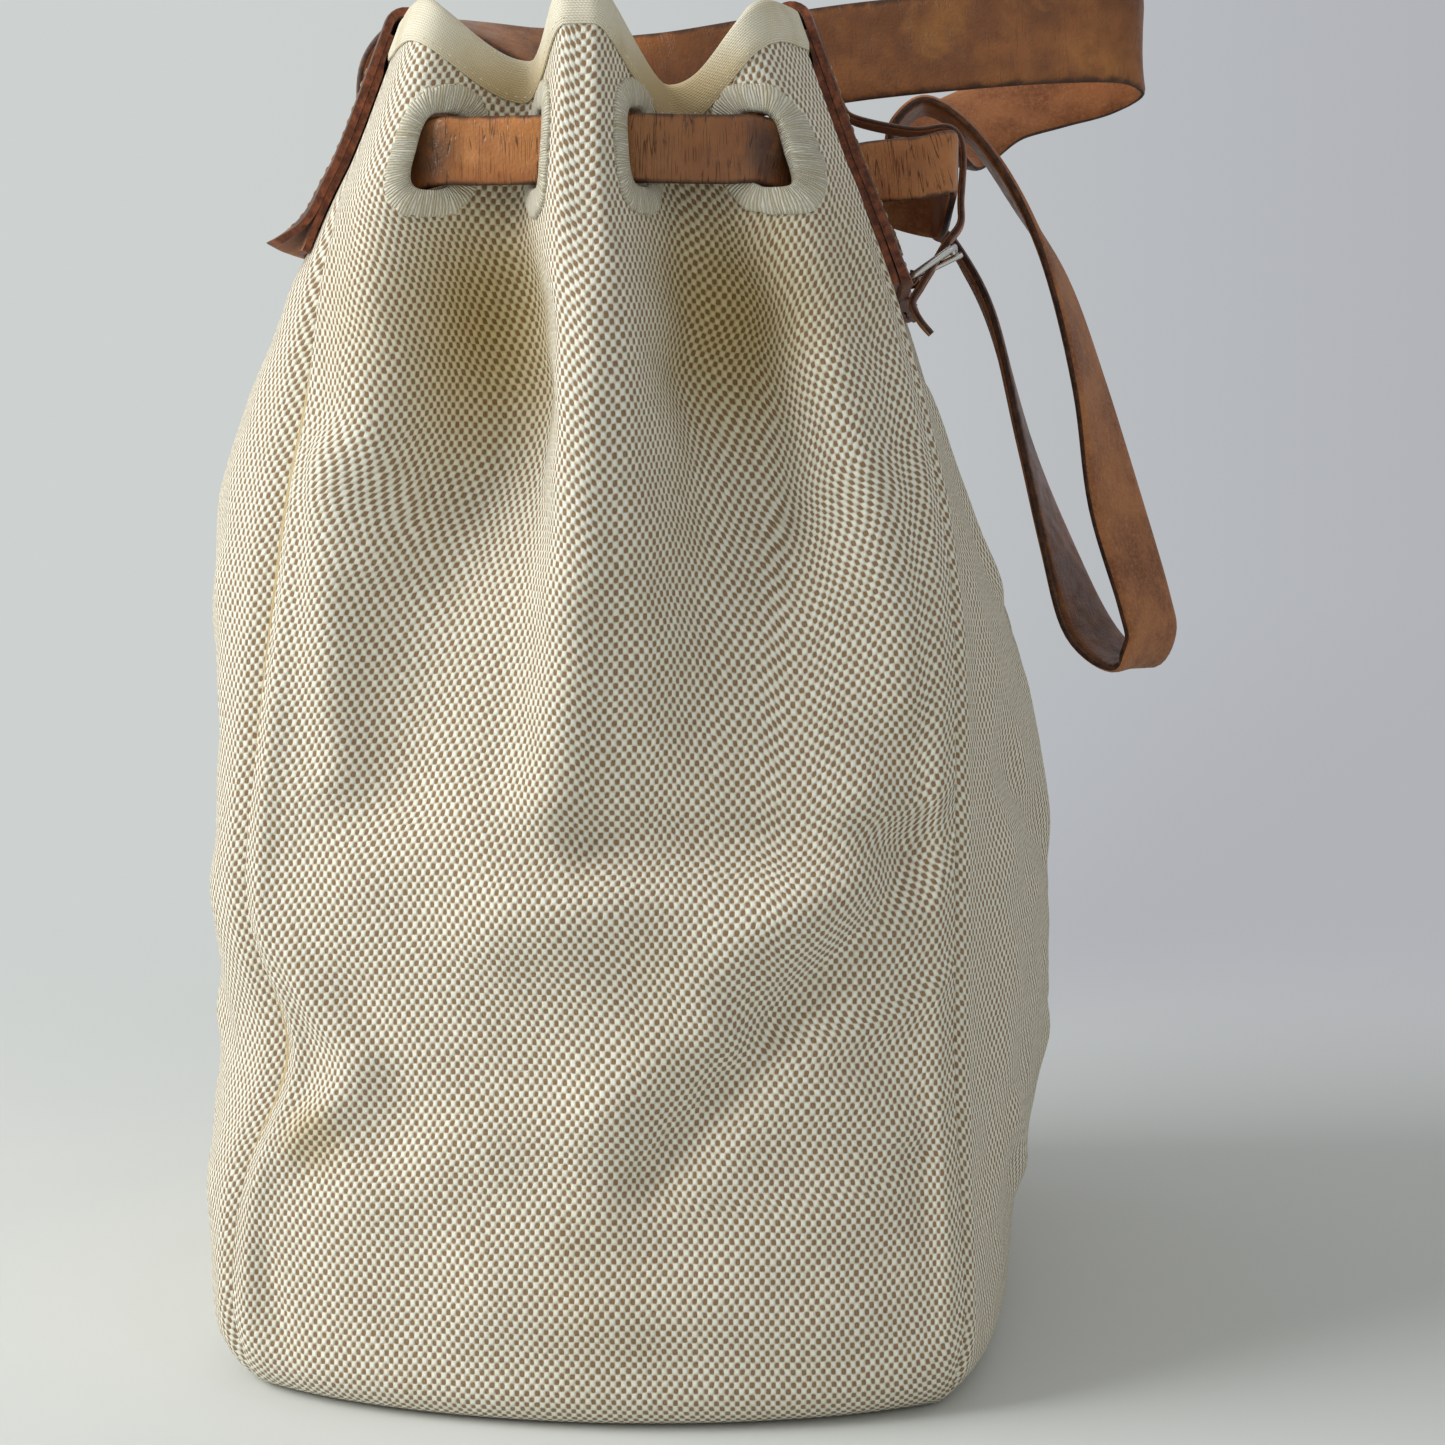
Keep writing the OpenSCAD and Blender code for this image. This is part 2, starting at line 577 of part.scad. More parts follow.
loop_mid_x = loop_near.x + loop_out - 1;
over_loop = draw_t / 2 + closure_t / 2 + 0.8;
tail_low = rim_h - front_patch_h - 6;
crossing_h = 14.5;        // height at which the strap crosses to the loop, above the slots
tail_out = 5.5;           // how far the loose tail and its tip stand off the patch
tip_out = 7;
tip_len = 4;
closure_route = [
    face_at(closure_y, slot_z + 24, closure_t / 2 + sewn_gap),
    face_at(closure_y, slot_z + 18, closure_t / 2 + sewn_gap),
    face_at(closure_y, slot_z + 14, closure_t / 2 + 3),
    [loop_mid_x - 9, closure_y, slot_z + crossing_h - 0.5],
    [loop_mid_x, closure_y, slot_z + crossing_h],
    [loop_mid_x + over_loop + 0.3, closure_y, slot_z + 9.5],
    [loop_mid_x + over_loop, closure_y, slot_z - 3],
    from_bar(strap_over_bar + 0.4, buckle_h + 6),
    from_bar(strap_over_bar - 0.1, buckle_h),
    from_bar(strap_over_bar, 5),
    from_bar(strap_over_bar, 0),
    from_bar(strap_over_bar + 0.3, -5),
    on_skin(front_s(closure_y, tail_low), tail_low, closure_t / 2 + tail_out),
    on_skin(front_s(closure_y, tail_low - tip_len), tail_low - tip_len, closure_t / 2 + tip_out)
];
module closure_strap() {
    path = curve(closure_route, 3);
    color(leather_c) difference() {
        flat_strap(path, [for (p = path) [0, 1, 0]], closure_w, closure_t);
        at_bar() translate([0, -prong_w / 2 - pin_play, slot_low])
            cube([2 * frame_rise, prong_w + 2 * pin_play, slot_len]);
    }
}
module buckle_frame() {
    limb_t = buckle_wire + 0.2;
    color(metal_c) at_bar() rotate([0, frame_lean, 0]) {
        for (z = [0, frame_reach]) translate([0, 0, z]) rotate([90, 0, 0])
            cylinder(h = 2 * frame_half_w, r = bar_r, center = true);
        for (side = [-1, 1]) translate([-limb_t / 2, side * frame_half_w - limb_t / 2, -limb_t / 2])
            cube([limb_t, limb_t, frame_reach + limb_t]);
    }
}
// The prong turns on the bar, comes up through the strap and lies over the frame
module buckle_prong() {
    prong_r = prong_w / 2;
    prong_lean = frame_lean + asin((bar_r + prong_r + pin_play) / frame_reach);
    long = frame_reach + 1.2;
    eye_r = bar_r + pin_play + 0.5;
    color(metal_c) at_bar() rotate([0, prong_lean, 0]) difference() {
        union() {
            rotate([90, 0, 0]) cylinder(h = prong_w, r = eye_r, center = true);
            cylinder(h = long, r = prong_r);
            translate([0, 0, long]) sphere(prong_r);
        }
        rotate([90, 0, 0]) cylinder(h = 2 * prong_w, r = bar_r + pin_play, center = true);
    }
}
// Leather ears that hold the buckle's bar; their tongues are sewn to the patch above it
tongue_h = 9;
module buckle_chape() {
    inner = bar_r + pin_play;
    ear_w = (closure_w - prong_w) / 2 - 2 * pin_play;
    lean = atan2(face_at(closure_y, bar_z, 0).x - face_at(closure_y, bar_z + 10, 0).x, 10);
    for (side = [-1, 1]) color(leather_c) translate(bar_pos) rotate([0, -lean, 0])
        translate([0, side * (closure_w - ear_w) / 2, 0])
        rotate([90, 0, 0]) linear_extrude(ear_w, center = true)
        difference() {
            union() {
                circle(inner + chape_t);
                translate([-inner - chape_t, 0]) square([chape_t, tongue_h]);
            }
            circle(inner);
        }
}

// ---------- shoulder strap ----------
// Both ends are sewn on the patches, one above the other side's. Each sewn end is a
// tab whose top is cut round, and the strap's round end turns just above it.
turn_r = strap_w / 2;
turn_gap = 0.3;
anchor_z = rim_h - 26;
function patch_back(y, z, off) = on_skin(back_s(y, z), z, patch_face + off);
tip_z = anchor_z - turn_r;
front_anchor = [face_at(strap_y, tip_z - 3, 0).x + strap_t / 2 + turn_gap, strap_y, anchor_z];
back_anchor = [patch_back(strap_y, tip_z - 3, 0).x - strap_t / 2 - turn_gap, strap_y, anchor_z];

// [centre, direction of the width]; the back's and front's own points count from their
// anchors, those between from the middle of the rim
back_run = [
    [[0, 0, -1], [0, 1, 0]], [[0, 0, 6], [0, 1, 0]], [[-1, 0, 14], [0, 1, 0]],
    [[0, 0, 30], [0, 1, 0]], [[8, 1, 40], [0, 1, 0]], [[18, 4, 43], [0, 1, 0.1]]
];
mouth_run = [
    [[-32, 27, 10], [0.1, 0.9, 0.5]], [[-16, 36, 5], [0, 0.6, 0.8]], [[0, 43, 4], [0, 0.2, 1]],
    [[28, 52, 9], [0, 0, 1]], [[56, 60, 14], [0, 0, 1]], [[94, 66, 18], [0, 0, 1]],
    [[120, 74, 20], [0, 0, 1]], [[132, 82, 20], [0, 0, 1]], [[133, 91, 17], [0, 0.1, 1]],
    [[124, 96, 12], [0, 0.3, 0.9]], [[110, 96, 7], [0, 0.5, 0.8]], [[94, 92, 1], [0, 0.6, 0.7]],
    [[82, 84, -7], [0.1, 0.6, 0.7]]
];
front_run = [
    [[8, 54, 8], [0.2, 0.8, 0.5]], [[7, 41, -4], [0.1, 0.9, 0.2]], [[12, 32, -11], [0, 1, 0.1]],
    [[19, 26, -19], [0, 1, 0]], [[28, 21, -37], [0, 1, 0]], [[37, 15, -70], [0.1, 1, 0]],
    [[46, 11, -98], [0.3, 0.9, 0]], [[55, 7, -121], [0.5, 0.8, 0]], [[66, 3, -130], [0.5, 0.8, 0]],
    [[71, 1, -123], [0.5, 0.8, 0]], [[69, 0, -112], [0.5, 0.8, 0.1]], [[61, 0, -86], [0.5, 0.8, 0.1]],
    [[54, 0, -56], [0.3, 0.9, 0.1]], [[45, 0, -27], [0.2, 1, 0]], [[34, 0, -6], [0, 1, 0]],
    [[22, 0, 11], [0, 1, 0]], [[10, 0, 19], [0, 1, 0]], [[2, 0, 14], [0, 1, 0]],
    [[0, 0, 6], [0, 1, 0]], [[0, 0, -1], [0, 1, 0]]
];
strap_points = concat(
    [for (p = back_run) back_anchor + p[0]],
    [for (p = mouth_run) p[0] + [0, 0, rim_h]],
    [for (p = front_run) front_anchor + p[0]]
);
strap_across = [for (p = concat(back_run, mouth_run, front_run)) p[1]];
round_steps = 5;
// The round end: rings below the anchor whose width follows the circle
function round_end(anchor, flip) = [
    for (i = [0:round_steps - 1]) let (
        k = flip ? round_steps - 1 - i : i,
        drop = turn_r * cos(90 * (k + 0.15) / round_steps)
    ) [anchor - [0, 0, drop], 2 * sqrt(turn_r * turn_r - drop * drop)]
];
module shoulder_strap() {
    path = curve(strap_points, 3);
    across = curve(strap_across, 3);
    down = [0, 0, -1];
    color(leather_c) ring_solid(concat(
        [for (e = round_end(back_anchor, false)) strap_ring(e[0], -down, [0, 1, 0], e[1], strap_t)],
        [for (i = [0:len(path) - 1])
            strap_ring(path[i], heading(path, i, false), across[i], strap_w, strap_t)],
        [for (e = round_end(front_anchor, true)) strap_ring(e[0], down, [0, 1, 0], e[1], strap_t)]
    ));
}
module strap_tab(mid_s, anchor, lift, patch_low) {
    rows = 5;
    half = strap_w / 2 / s_speed(mid_s, anchor_z - turn_r);
    low = tip_z - tab_h / 2;
    high = tip_z + tab_h / 4;
    color(leather_c) difference() {
        grid_solid(rows + 1, 7, function (i, j, side) let (z = mix(low, high, i / rows))
            on_skin(mid_s + half * (j - 3) / 3, z,
                patch_face + seat_gap + flap_lift(z, lift, patch_low) + (side == 0 ? strap_t : 0)));
        translate(anchor) rotate([0, 90, 0]) cylinder(h = 60, r = turn_r + turn_gap, center = true);
    }
}
module front_strap_tab() {
    strap_tab(front_s(strap_y, tip_z), front_anchor, front_lift, rim_h - front_patch_h);
}
module back_strap_tab() {
    strap_tab(back_s(strap_y, tip_z), back_anchor, back_lift, rim_h - back_patch_h);
}

left_end_panel();
right_end_panel();
front_panel();
back_panel();
base_panel();
base_board();
left_seam_tape();
right_seam_tape();
rim_binding();
left_slot_stitching();
right_slot_stitching();
drawstring();
front_patch();
front_patch_lining();
back_patch();
back_patch_lining();
closure_strap();
buckle_chape();
buckle_frame();
buckle_prong();
front_strap_tab();
back_strap_tab();
shoulder_strap();
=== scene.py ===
import math
import bpy
import numpy as np
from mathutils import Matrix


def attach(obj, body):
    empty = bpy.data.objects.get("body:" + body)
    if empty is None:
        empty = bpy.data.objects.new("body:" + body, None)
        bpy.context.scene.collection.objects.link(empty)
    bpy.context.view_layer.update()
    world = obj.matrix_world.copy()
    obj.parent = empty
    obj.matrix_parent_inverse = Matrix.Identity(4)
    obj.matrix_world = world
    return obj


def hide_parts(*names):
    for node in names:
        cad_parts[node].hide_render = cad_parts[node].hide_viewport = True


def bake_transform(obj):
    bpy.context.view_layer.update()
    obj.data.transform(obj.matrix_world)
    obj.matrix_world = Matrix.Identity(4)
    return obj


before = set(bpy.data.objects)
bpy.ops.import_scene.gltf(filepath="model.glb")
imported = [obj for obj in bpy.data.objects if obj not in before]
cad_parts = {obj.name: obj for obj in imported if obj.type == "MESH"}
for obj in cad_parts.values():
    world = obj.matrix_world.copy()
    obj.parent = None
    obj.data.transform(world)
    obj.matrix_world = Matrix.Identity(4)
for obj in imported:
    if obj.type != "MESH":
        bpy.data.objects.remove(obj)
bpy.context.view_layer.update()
mm = 0.001                     # shapes are worked out in millimetres, as in the drawing

# the camera stands where the photograph's did
photo = dict(place=(0.0833, -0.7153, 0.2200), down=5.5, turn=5.0, lens=67.017, sensor=36, nearest=0.01)

camera = bpy.data.objects.new("camera", bpy.data.cameras.new("camera"))
camera.location = photo["place"]
camera.rotation_euler = (math.radians(90 - photo["down"]), 0, math.radians(photo["turn"]))
camera.data.lens = photo["lens"]
camera.data.sensor_width = photo["sensor"]
camera.data.clip_start = photo["nearest"]
bpy.context.scene.collection.objects.link(camera)
bpy.context.scene.camera = camera
bpy.context.scene.view_settings.view_transform = "Standard"


def paint(r, g, b):            # a colour read as 0 to 255 on a screen, made linear
    c = np.array([r, g, b]) / 255
    c = np.where(c <= 0.04045, c / 12.92, ((c + 0.055) / 1.055) ** 2.4)
    return (*[float(x) for x in c], 1.0)


class Graph:                   # a material's nodes, put in one call each
    def __init__(self, name):
        self.mat = bpy.data.materials.new(name)
        self.mat.use_nodes = True
        self.tree = self.mat.node_tree
        self.skin = self.tree.nodes["Principled BSDF"]

    def feed(self, socket, value):
        if isinstance(value, bpy.types.NodeSocket):
            self.tree.links.new(value, socket)
        else:
            socket.default_value = value

    def put(self, kind, sockets, out=0, **props):
        made = self.tree.nodes.new("ShaderNode" + kind)
        for key, value in props.items():
            setattr(made, key, value)
        for key, value in sockets.items():
            self.feed(made.inputs[key], value)
        return made.outputs[out]

    def calc(self, operation, a, b=0.0):
        return self.put("Math", {0: a, 1: b, 2: 0.0}, operation=operation)

    def times(self, a, b):
        return self.calc("MULTIPLY", a, b)

    def plus(self, a, b):
        return self.calc("ADD", a, b)

    def shaken(self, value, noise, amount):            # value plus (noise - 0.5) times the amount
        return self.plus(value, self.times(self.calc("SUBTRACT", noise, 0.5), amount))

    def span(self, value, low, high, a=0.0, b=1.0):    # smooth step from a to b
        return self.put("MapRange", {0: value, 1: low, 2: high, 3: a, 4: b},
                        interpolation_type="SMOOTHSTEP")

    def blend(self, t, a, b, how="MIX"):
        return self.put("Mix", {0: t, 6: a, 7: b}, out=2, data_type="RGBA", blend_type=how)

    def noise(self, where, scale, detail=2.0, rough=0.5, twist=0.0):
        return self.put("TexNoise", {"Vector": where, "Scale": scale, "Detail": detail,
                                     "Roughness": rough, "Distortion": twist})

    def place(self):
        return self.put("TexCoord", {}, out=3)

    def lay(self):             # the piece's own UV map: along the thread or strap, then across
        return self.put("UVMap", {}, uv_map="lay")

    def axis(self, where, number):
        return self.put("SeparateXYZ", {0: where}, out=number)

    def far(self, where, spot):
        return self.put("VectorMath", {0: where, 1: spot}, out=1, operation="DISTANCE")

    def sum(self, a, b):
        return self.put("VectorMath", {0: a, 1: b}, operation="ADD")

    def stretch(self, where, by):
        return self.put("VectorMath", {0: where, 1: by}, operation="MULTIPLY")

    def bump(self, height, depth, strength=1.0, under=None):
        sockets = {"Height": height, "Distance": depth, "Strength": strength}
        if under is not None:
            sockets["Normal"] = under
        return self.put("Bump", sockets)

    def finish(self, colour, rough, normal=None, **constant):
        self.feed(self.skin.inputs["Base Color"], colour)
        self.feed(self.skin.inputs["Roughness"], rough)
        if normal is not None:
            self.feed(self.skin.inputs["Normal"], normal)
        for key, value in constant.items():
            self.skin.inputs[key.replace("_", " ")].default_value = value
        return self.mat


studio = dict(
    left=(205, 210, 208), right=(176, 178, 184),       # backdrop's colours, left to right; the darker right is painted falloff of the light from the left
    turns=(-0.32, 0.30),                               # and the directions between which they change
    floor=(219, 223, 221), dust=5, dustScale=9.0,
    keyLamp=dict(place=(-1.45, -0.62, 1.1), size=1.2, power=31.0, colour=(1, 0.995, 0.975)),
    fillLamp=dict(place=(0.9, -1.3, 0.7), size=1.2, power=1.2, colour=(0.93, 0.96, 1)),
    aim=(0, 0, 0.17), sky=(1, 0.995, 0.98, 1), skyPower=0.46,
    fadeBehind=(0.05, 0.62), fadeRound=(0.38, 0.8),    # where the floor goes over into the backdrop
    rings=(4.0, 2.4, 1.2, 0.5, 0), steps=96, rises=12,
)


def addLamp(name):             # a square soft box that faces the middle of the bag
    look = studio[name]
    data = bpy.data.lights.new(name, "AREA")
    data.size, data.energy, data.color = look["size"], look["power"], look["colour"]
    made = bpy.data.objects.new(name, data)
    made.location = look["place"]
    aim = np.array(studio["aim"]) - np.array(look["place"])
    made.rotation_euler = (math.acos(-aim[2] / np.linalg.norm(aim)), 0,
                           math.atan2(aim[1], aim[0]) - math.pi / 2)
    bpy.context.scene.collection.objects.link(made)


addLamp("keyLamp")
addLamp("fillLamp")

world = bpy.data.worlds.new("studioLight")
world.use_nodes = True
bpy.context.scene.world = world
world.node_tree.nodes["Background"].inputs[0].default_value = studio["sky"]
world.node_tree.nodes["Background"].inputs[1].default_value = studio["skyPower"]


def backdropFalloffColour(g):
    # the colour goes from left to right with the direction round the bag, darker to the right: painted
    # falloff of the light from the left
    flat = g.stretch(g.place(), (1, 1, 0))
    way = g.axis(g.put("VectorMath", {0: flat}, operation="NORMALIZE"), 0)
    return g.blend(g.span(way, *studio["turns"]), paint(*studio["left"]), paint(*studio["right"]))


def shownAs(g, lit, colour, amount):
    # the camera, and shiny things, see the plain colour; the light sees the matt surface
    path = g.tree.nodes.new("ShaderNodeLightPath").outputs
    seen = g.calc("MAXIMUM", g.calc("MAXIMUM", path["Is Camera Ray"], path["Is Glossy Ray"]),
                  path["Is Transmission Ray"])
    glow = g.put("Emission", {"Color": colour, "Strength": 1.0})
    mixed = g.put("MixShader", {0: g.times(seen, amount), 1: lit, 2: glow})
    g.tree.links.new(mixed, g.tree.nodes["Material Output"].inputs[0])


def floorPaper():
    # the floor goes over into the backdrop behind the bag, and further out on the other sides
    g = Graph("floorPaper")
    dust = g.noise(g.place(), studio["dustScale"], 3.0)
    dusty = [c - studio["dust"] for c in studio["floor"]]
    g.finish(g.blend(dust, paint(*studio["floor"]), paint(*dusty)), 0.8)
    away = g.axis(g.place(), 1)
    reach = g.put("VectorMath", {0: g.place()}, out=1, operation="LENGTH")
    shownAs(g, g.skin.outputs[0], backdropFalloffColour(g),
            g.calc("MAXIMUM", g.span(away, *studio["fadeBehind"]), g.span(reach, *studio["fadeRound"])))
    return g.mat


def backdropPaper():
    g = Graph("backdropPaper")
    g.finish(paint(*studio["left"]), 1.0)
    shownAs(g, g.skin.outputs[0], backdropFalloffColour(g), 1.0)
    return g.mat


def addStage(name, profile, mat):
    # a profile of radius and height carried round the z axis; its last point is the pole.
    # The faces look in and up, to the bag.
    turn = np.linspace(0, 2 * np.pi, studio["steps"] + 1)[:-1]
    radius, high = profile[:-1, :1], profile[:-1, 1:]
    verts = np.stack([radius * np.cos(turn), radius * np.sin(turn), high + 0 * turn], -1).reshape(-1, 3)
    ring = np.arange(studio["steps"])
    ahead, last = (ring + 1) % studio["steps"], len(profile) - 2
    at = [k * studio["steps"] for k in range(last + 2)]
    faces = np.concatenate([np.stack([at[k] + ring, at[k + 1] + ring, at[k + 1] + ahead, at[k] + ahead], -1)
                            for k in range(last)]).tolist()
    faces += np.stack([at[last] + ring, at[last + 1] + 0 * ring, at[last] + ahead], -1).tolist()
    if profile[-1, 1] == 0:
        faces = [face[::-1] for face in faces]
    mesh = bpy.data.meshes.new(name)
    mesh.from_pydata(verts.tolist() + [[0, 0, profile[-1, 1]]], [], faces)
    mesh.materials.append(mat)
    made = bpy.data.objects.new(name, mesh)
    bpy.context.scene.collection.objects.link(made)
    return made


size = studio["rings"][0]
rise = np.linspace(0, np.pi / 2, studio["rises"] + 1)
addStage("floor", np.stack([studio["rings"], np.zeros(len(studio["rings"]))], -1), floorPaper())
backdrop = addStage("backdrop", np.stack([size * np.cos(rise), size * np.sin(rise)], -1), backdropPaper())
backdrop.visible_diffuse = backdrop.visible_shadow = False
print("camera, lamps and floor are set")

# The bag's surface: s runs round the bag, one unit a panel: 0 to 1 left end, 1 to 2 front,
# 2 to 3 right end, 3 to 4 back. z is the height.
bag = dict(
    endWide=168.0, sideWide=208.0, flare=8.0, rim=322.0, canvas=1.6, endBulge=19.0,
    neckBulge=42.0, frontBelly=24.0, backBelly=17.0, backFull=25.0, backNeck=6.0, seamIn=8.0,
    bellyAt=100.0, bellySpan=15.0, fullAt=205.0, lowFullAt=60.0,
    tuckAt=82.0, tuckHigh=22.0, tuckDeep=11.0,
    foot=10.0, footCorner=28.0, shoulder=165.0, slot=289.0, neckWide=114.0, neckLong=184.0,
    rimWide=90.0, rimLong=176.0, foldFrom=120.0, foldDepth=28.0, rimDip=19.0, farDip=9.0,
    hollow=3.0, foldLeft=(-0.86, -0.28, -0.03), foldRight=(0.94, 0.34, 0.09),
    endSlots=(0.2125, 0.4175, 0.6075, 0.85), slotWide=12.0, slotHigh=19.0, slitWide=7.0,
)


def ease(t):                   # 3t² - 2t³ between 0 and 1
    t = np.clip(t, 0.0, 1.0)
    return t * t * (3 - 2 * t)


def ramp(v, low, high):
    return ease((v - low) / (high - low))


def mix(a, b, t):
    return a + (b - a) * t


def unit(v):
    return v / np.linalg.norm(v, axis=-1, keepdims=True)


def oneFold(u, fold):          # rises from the outer crest to the bottom, falls to the inner crest
    outer, bottom, inner = fold
    return np.where((u - bottom) * (outer - bottom) > 0, ease((u - outer) / (bottom - outer)),
                    ease((u - inner) / (bottom - inner)))


def endOut(z, u):              # bulge (1 - |u|^n) less the two folds, both grow towards the neck
    grow = ramp(z, bag["foldFrom"], bag["slot"])
    crown = mix(bag["endBulge"], bag["neckBulge"], grow) * (1 - np.abs(u) ** (2 + 2 * grow))
    folds = oneFold(u, bag["foldLeft"]) + oneFold(u, bag["foldRight"])
    return crown - grow * bag["foldDepth"] * folds


def frontOut(z, u):            # belly (1 - u²) below, a slight hollow under the patch
    low = mix(bag["foot"], bag["frontBelly"], ramp(z, 0, bag["bellyAt"]))
    drawn = ramp(z, bag["bellyAt"] + bag["bellySpan"], bag["slot"] - 27)
    return mix(low, -bag["hollow"], drawn) * (1 - u * u)


def backOut(z, u):             # full and flat, (1 - u^6), fullest below the neck
    low = mix(bag["foot"], bag["backBelly"], ramp(z, 0, bag["lowFullAt"]))
    full = mix(low, bag["backFull"], ramp(z, bag["bellyAt"] + 2 * bag["bellySpan"], bag["fullAt"]))
    drawn = ramp(z, bag["fullAt"] + bag["bellySpan"], bag["slot"] + 11)
    return mix(full, bag["backNeck"], drawn) * (1 - u ** 6)


def seamDraw(z):               # the seam at the left end's back edge is drawn in below the neck
    return bag["seamIn"] * ramp(z, bag["bellyAt"] + 10, bag["shoulder"] + 35) \
        * (1 - ramp(z, bag["shoulder"] + 60, bag["slot"]))


def cornerTuck(z):             # and pushed in low down, a bell curve of the height
    return bag["tuckDeep"] * np.exp(-((z - bag["tuckAt"]) / bag["tuckHigh"]) ** 2)


def plainSkin(s, z):
    # half widths taper as a square above the shoulder and evenly above the slots; the foot
    # is a quarter circle that grows taller at the corners
    t = np.mod(s, 4.0)
    side = np.floor(t)
    u = 2 * (t - side) - 1
    drop = np.clip((z - bag["shoulder"]) / (bag["slot"] - bag["shoulder"]), 0, 1) ** 2
    top = np.maximum(z - bag["slot"], 0) / (bag["rim"] - bag["slot"])
    footHigh = bag["foot"] + (bag["footCorner"] - bag["foot"]) * np.abs(u) ** 8
    tuck = np.clip(1 - z / footHigh, 0, 1)
    common = bag["flare"] / 2 * (1 - ramp(z, 0, bag["bellyAt"])) \
        - bag["foot"] * (1 - np.sqrt(1 - tuck * tuck))
    halfX = (bag["endWide"] - (bag["endWide"] - bag["neckWide"]) * drop
             - (bag["neckWide"] - bag["rimWide"]) * top) / 2 + common
    halfY = (bag["sideWide"] - (bag["sideWide"] - bag["neckLong"]) * drop
             - (bag["neckLong"] - bag["rimLong"]) * top) / 2 + common
    left, right = endOut(z, u), endOut(z, -u)
    draw, tuckIn = seamDraw(z), cornerTuck(z)
    x = np.choose(side.astype(int), [
        halfX * u + draw * (1 - u) / 2 + tuckIn * ((1 - u) / 2) ** 3,
        halfX + frontOut(z, u),
        -halfX * u,
        -halfX - backOut(z, u) + draw * (1 + u) / 2 + tuckIn * ((1 + u) / 2) ** 9])
    y = np.choose(side.astype(int), [-halfY - left, halfY * u, halfY + right, -halfY * u])
    return np.stack(np.broadcast_arrays(x, y, z + 0 * s), -1)


def outward(s, z):             # across the surface: its step round crossed with its step up
    round_ = plainSkin(s + 0.002, z) - plainSkin(s - 0.002, z)
    up = plainSkin(s, z + 1) - plainSkin(s, np.maximum(0, z - 1))
    return unit(np.cross(round_, up))


def speedRound(s, z):          # millimetres of canvas for one unit of s
    step = plainSkin(s + 0.002, z) - plainSkin(s - 0.002, z)
    return np.linalg.norm(step, axis=-1) / 0.004


def slotSpeed(s):              # the same at slot height
    return speedRound(np.float64(s), np.float64(bag["slot"]))


def speedUp(s, z):             # millimetres of canvas for one of height
    return np.linalg.norm(plainSkin(s, z + 1) - plainSkin(s, z - 1), axis=-1) / 2


def rimHeight(s):              # the rim dips in the folds of both ends and a little in front
    t = np.mod(s, 4.0)
    side = np.floor(t)
    v = 2 * (t - side) - 1
    u = np.where(side == 2, -v, v)
    folds = 0.7 * oneFold(u, bag["foldLeft"]) + oneFold(u, bag["foldRight"])
    ends = bag["rim"] - bag["rimDip"] * folds
    front = bag["rim"] - bag["farDip"] * ramp(u, 0.3, 0.66) * (1 - ramp(u, 0.8, 1))
    return np.choose(side.astype(int), [ends, front, ends, bag["rim"] + 0 * u])


# Dents and creases, panel by panel: two ends across and up, width and height
creases = {
    0: [(-38, 216, -51, 154, 18, -8.0), (42, 206, 42, 160, 17, -3.2), (3, 134, 72, 136, 7, -5.0),
        (-14, 120, 58, 121, 16, 6.5), (73, 128, 15, 58, 6, -4.6), (62, 142, 4, 72, 10, 3.4),
        (-80, 108, -60, 84, 9, 4.0), (-66, 70, -82, 54, 6, 3.0), (-58, 96, -48, 64, 8, -2.4),
        (4, 262, -8, 146, 9, 4.6), (-72, 220, -62, 150, 7, 3.4), (-22, 236, -36, 196, 7, -2.6),
        (62, 240, 72, 168, 8, 3.2), (26, 240, 44, 196, 9, -3.2), (-27, 262, -33, 214, 13, -5.5),
        (37, 262, 40, 214, 13, -6.0), (-20, 30, 50, 26, 10, 1.8),
        (30, 92, 70, 70, 6, 2.0), (-76, 34, -68, 8, 3.5, -1.8), (75, 62, 80, 20, 3.5, -2.2)],
    1: [(-70, 150, -20, 120, 8, -3.0), (-10, 70, 60, 96, 9, 2.6), (30, 180, 76, 140, 7, -2.6),
        (-60, 60, -30, 40, 6, 2.0), (-40, 236, -30, 190, 8, 2.4), (44, 230, 30, 190, 7, -2.0)],
    2: [(50, 150, 42, 196, 15, -4.2), (-60, 130, 10, 124, 6, -2.4), (-40, 100, 10, 112, 18, 3.4),
        (-66, 60, -12, 92, 6, 2.2), (66, 60, 30, 44, 6, 2.2), (0, 260, 8, 150, 10, 2.6),
        (-52, 226, -66, 160, 8, 2.6)],
    3: [(-64, 130, 0, 116, 8, -2.8), (10, 62, 70, 84, 9, 2.4), (20, 190, 66, 150, 8, -2.8),
        (-50, 220, -34, 176, 8, 2.4), (-80, 80, -50, 50, 6, 2.0)],
}
ripples = dict(
    depth=0.8, seamTuck=2.4, seamWide=2.3, welt=1.0, weltAt=5, weltWide=2.4,
    footCalm=(3, 26), slotCalm=(252, 274),             # still at the foot and under the slots
    # size, then what two sines multiplied take: times across, times up and start
    waves=[(1.0, (0.9, 0.35, 1.1), (-0.3, 0.42, 0.4)), (0.6, (1.7, -0.8, 2.0), (0.5, 0.9, 0.0)),
           (0.4, (1.1, 2.6, 0.0), (2.1, 0.0, 0.6))],
)


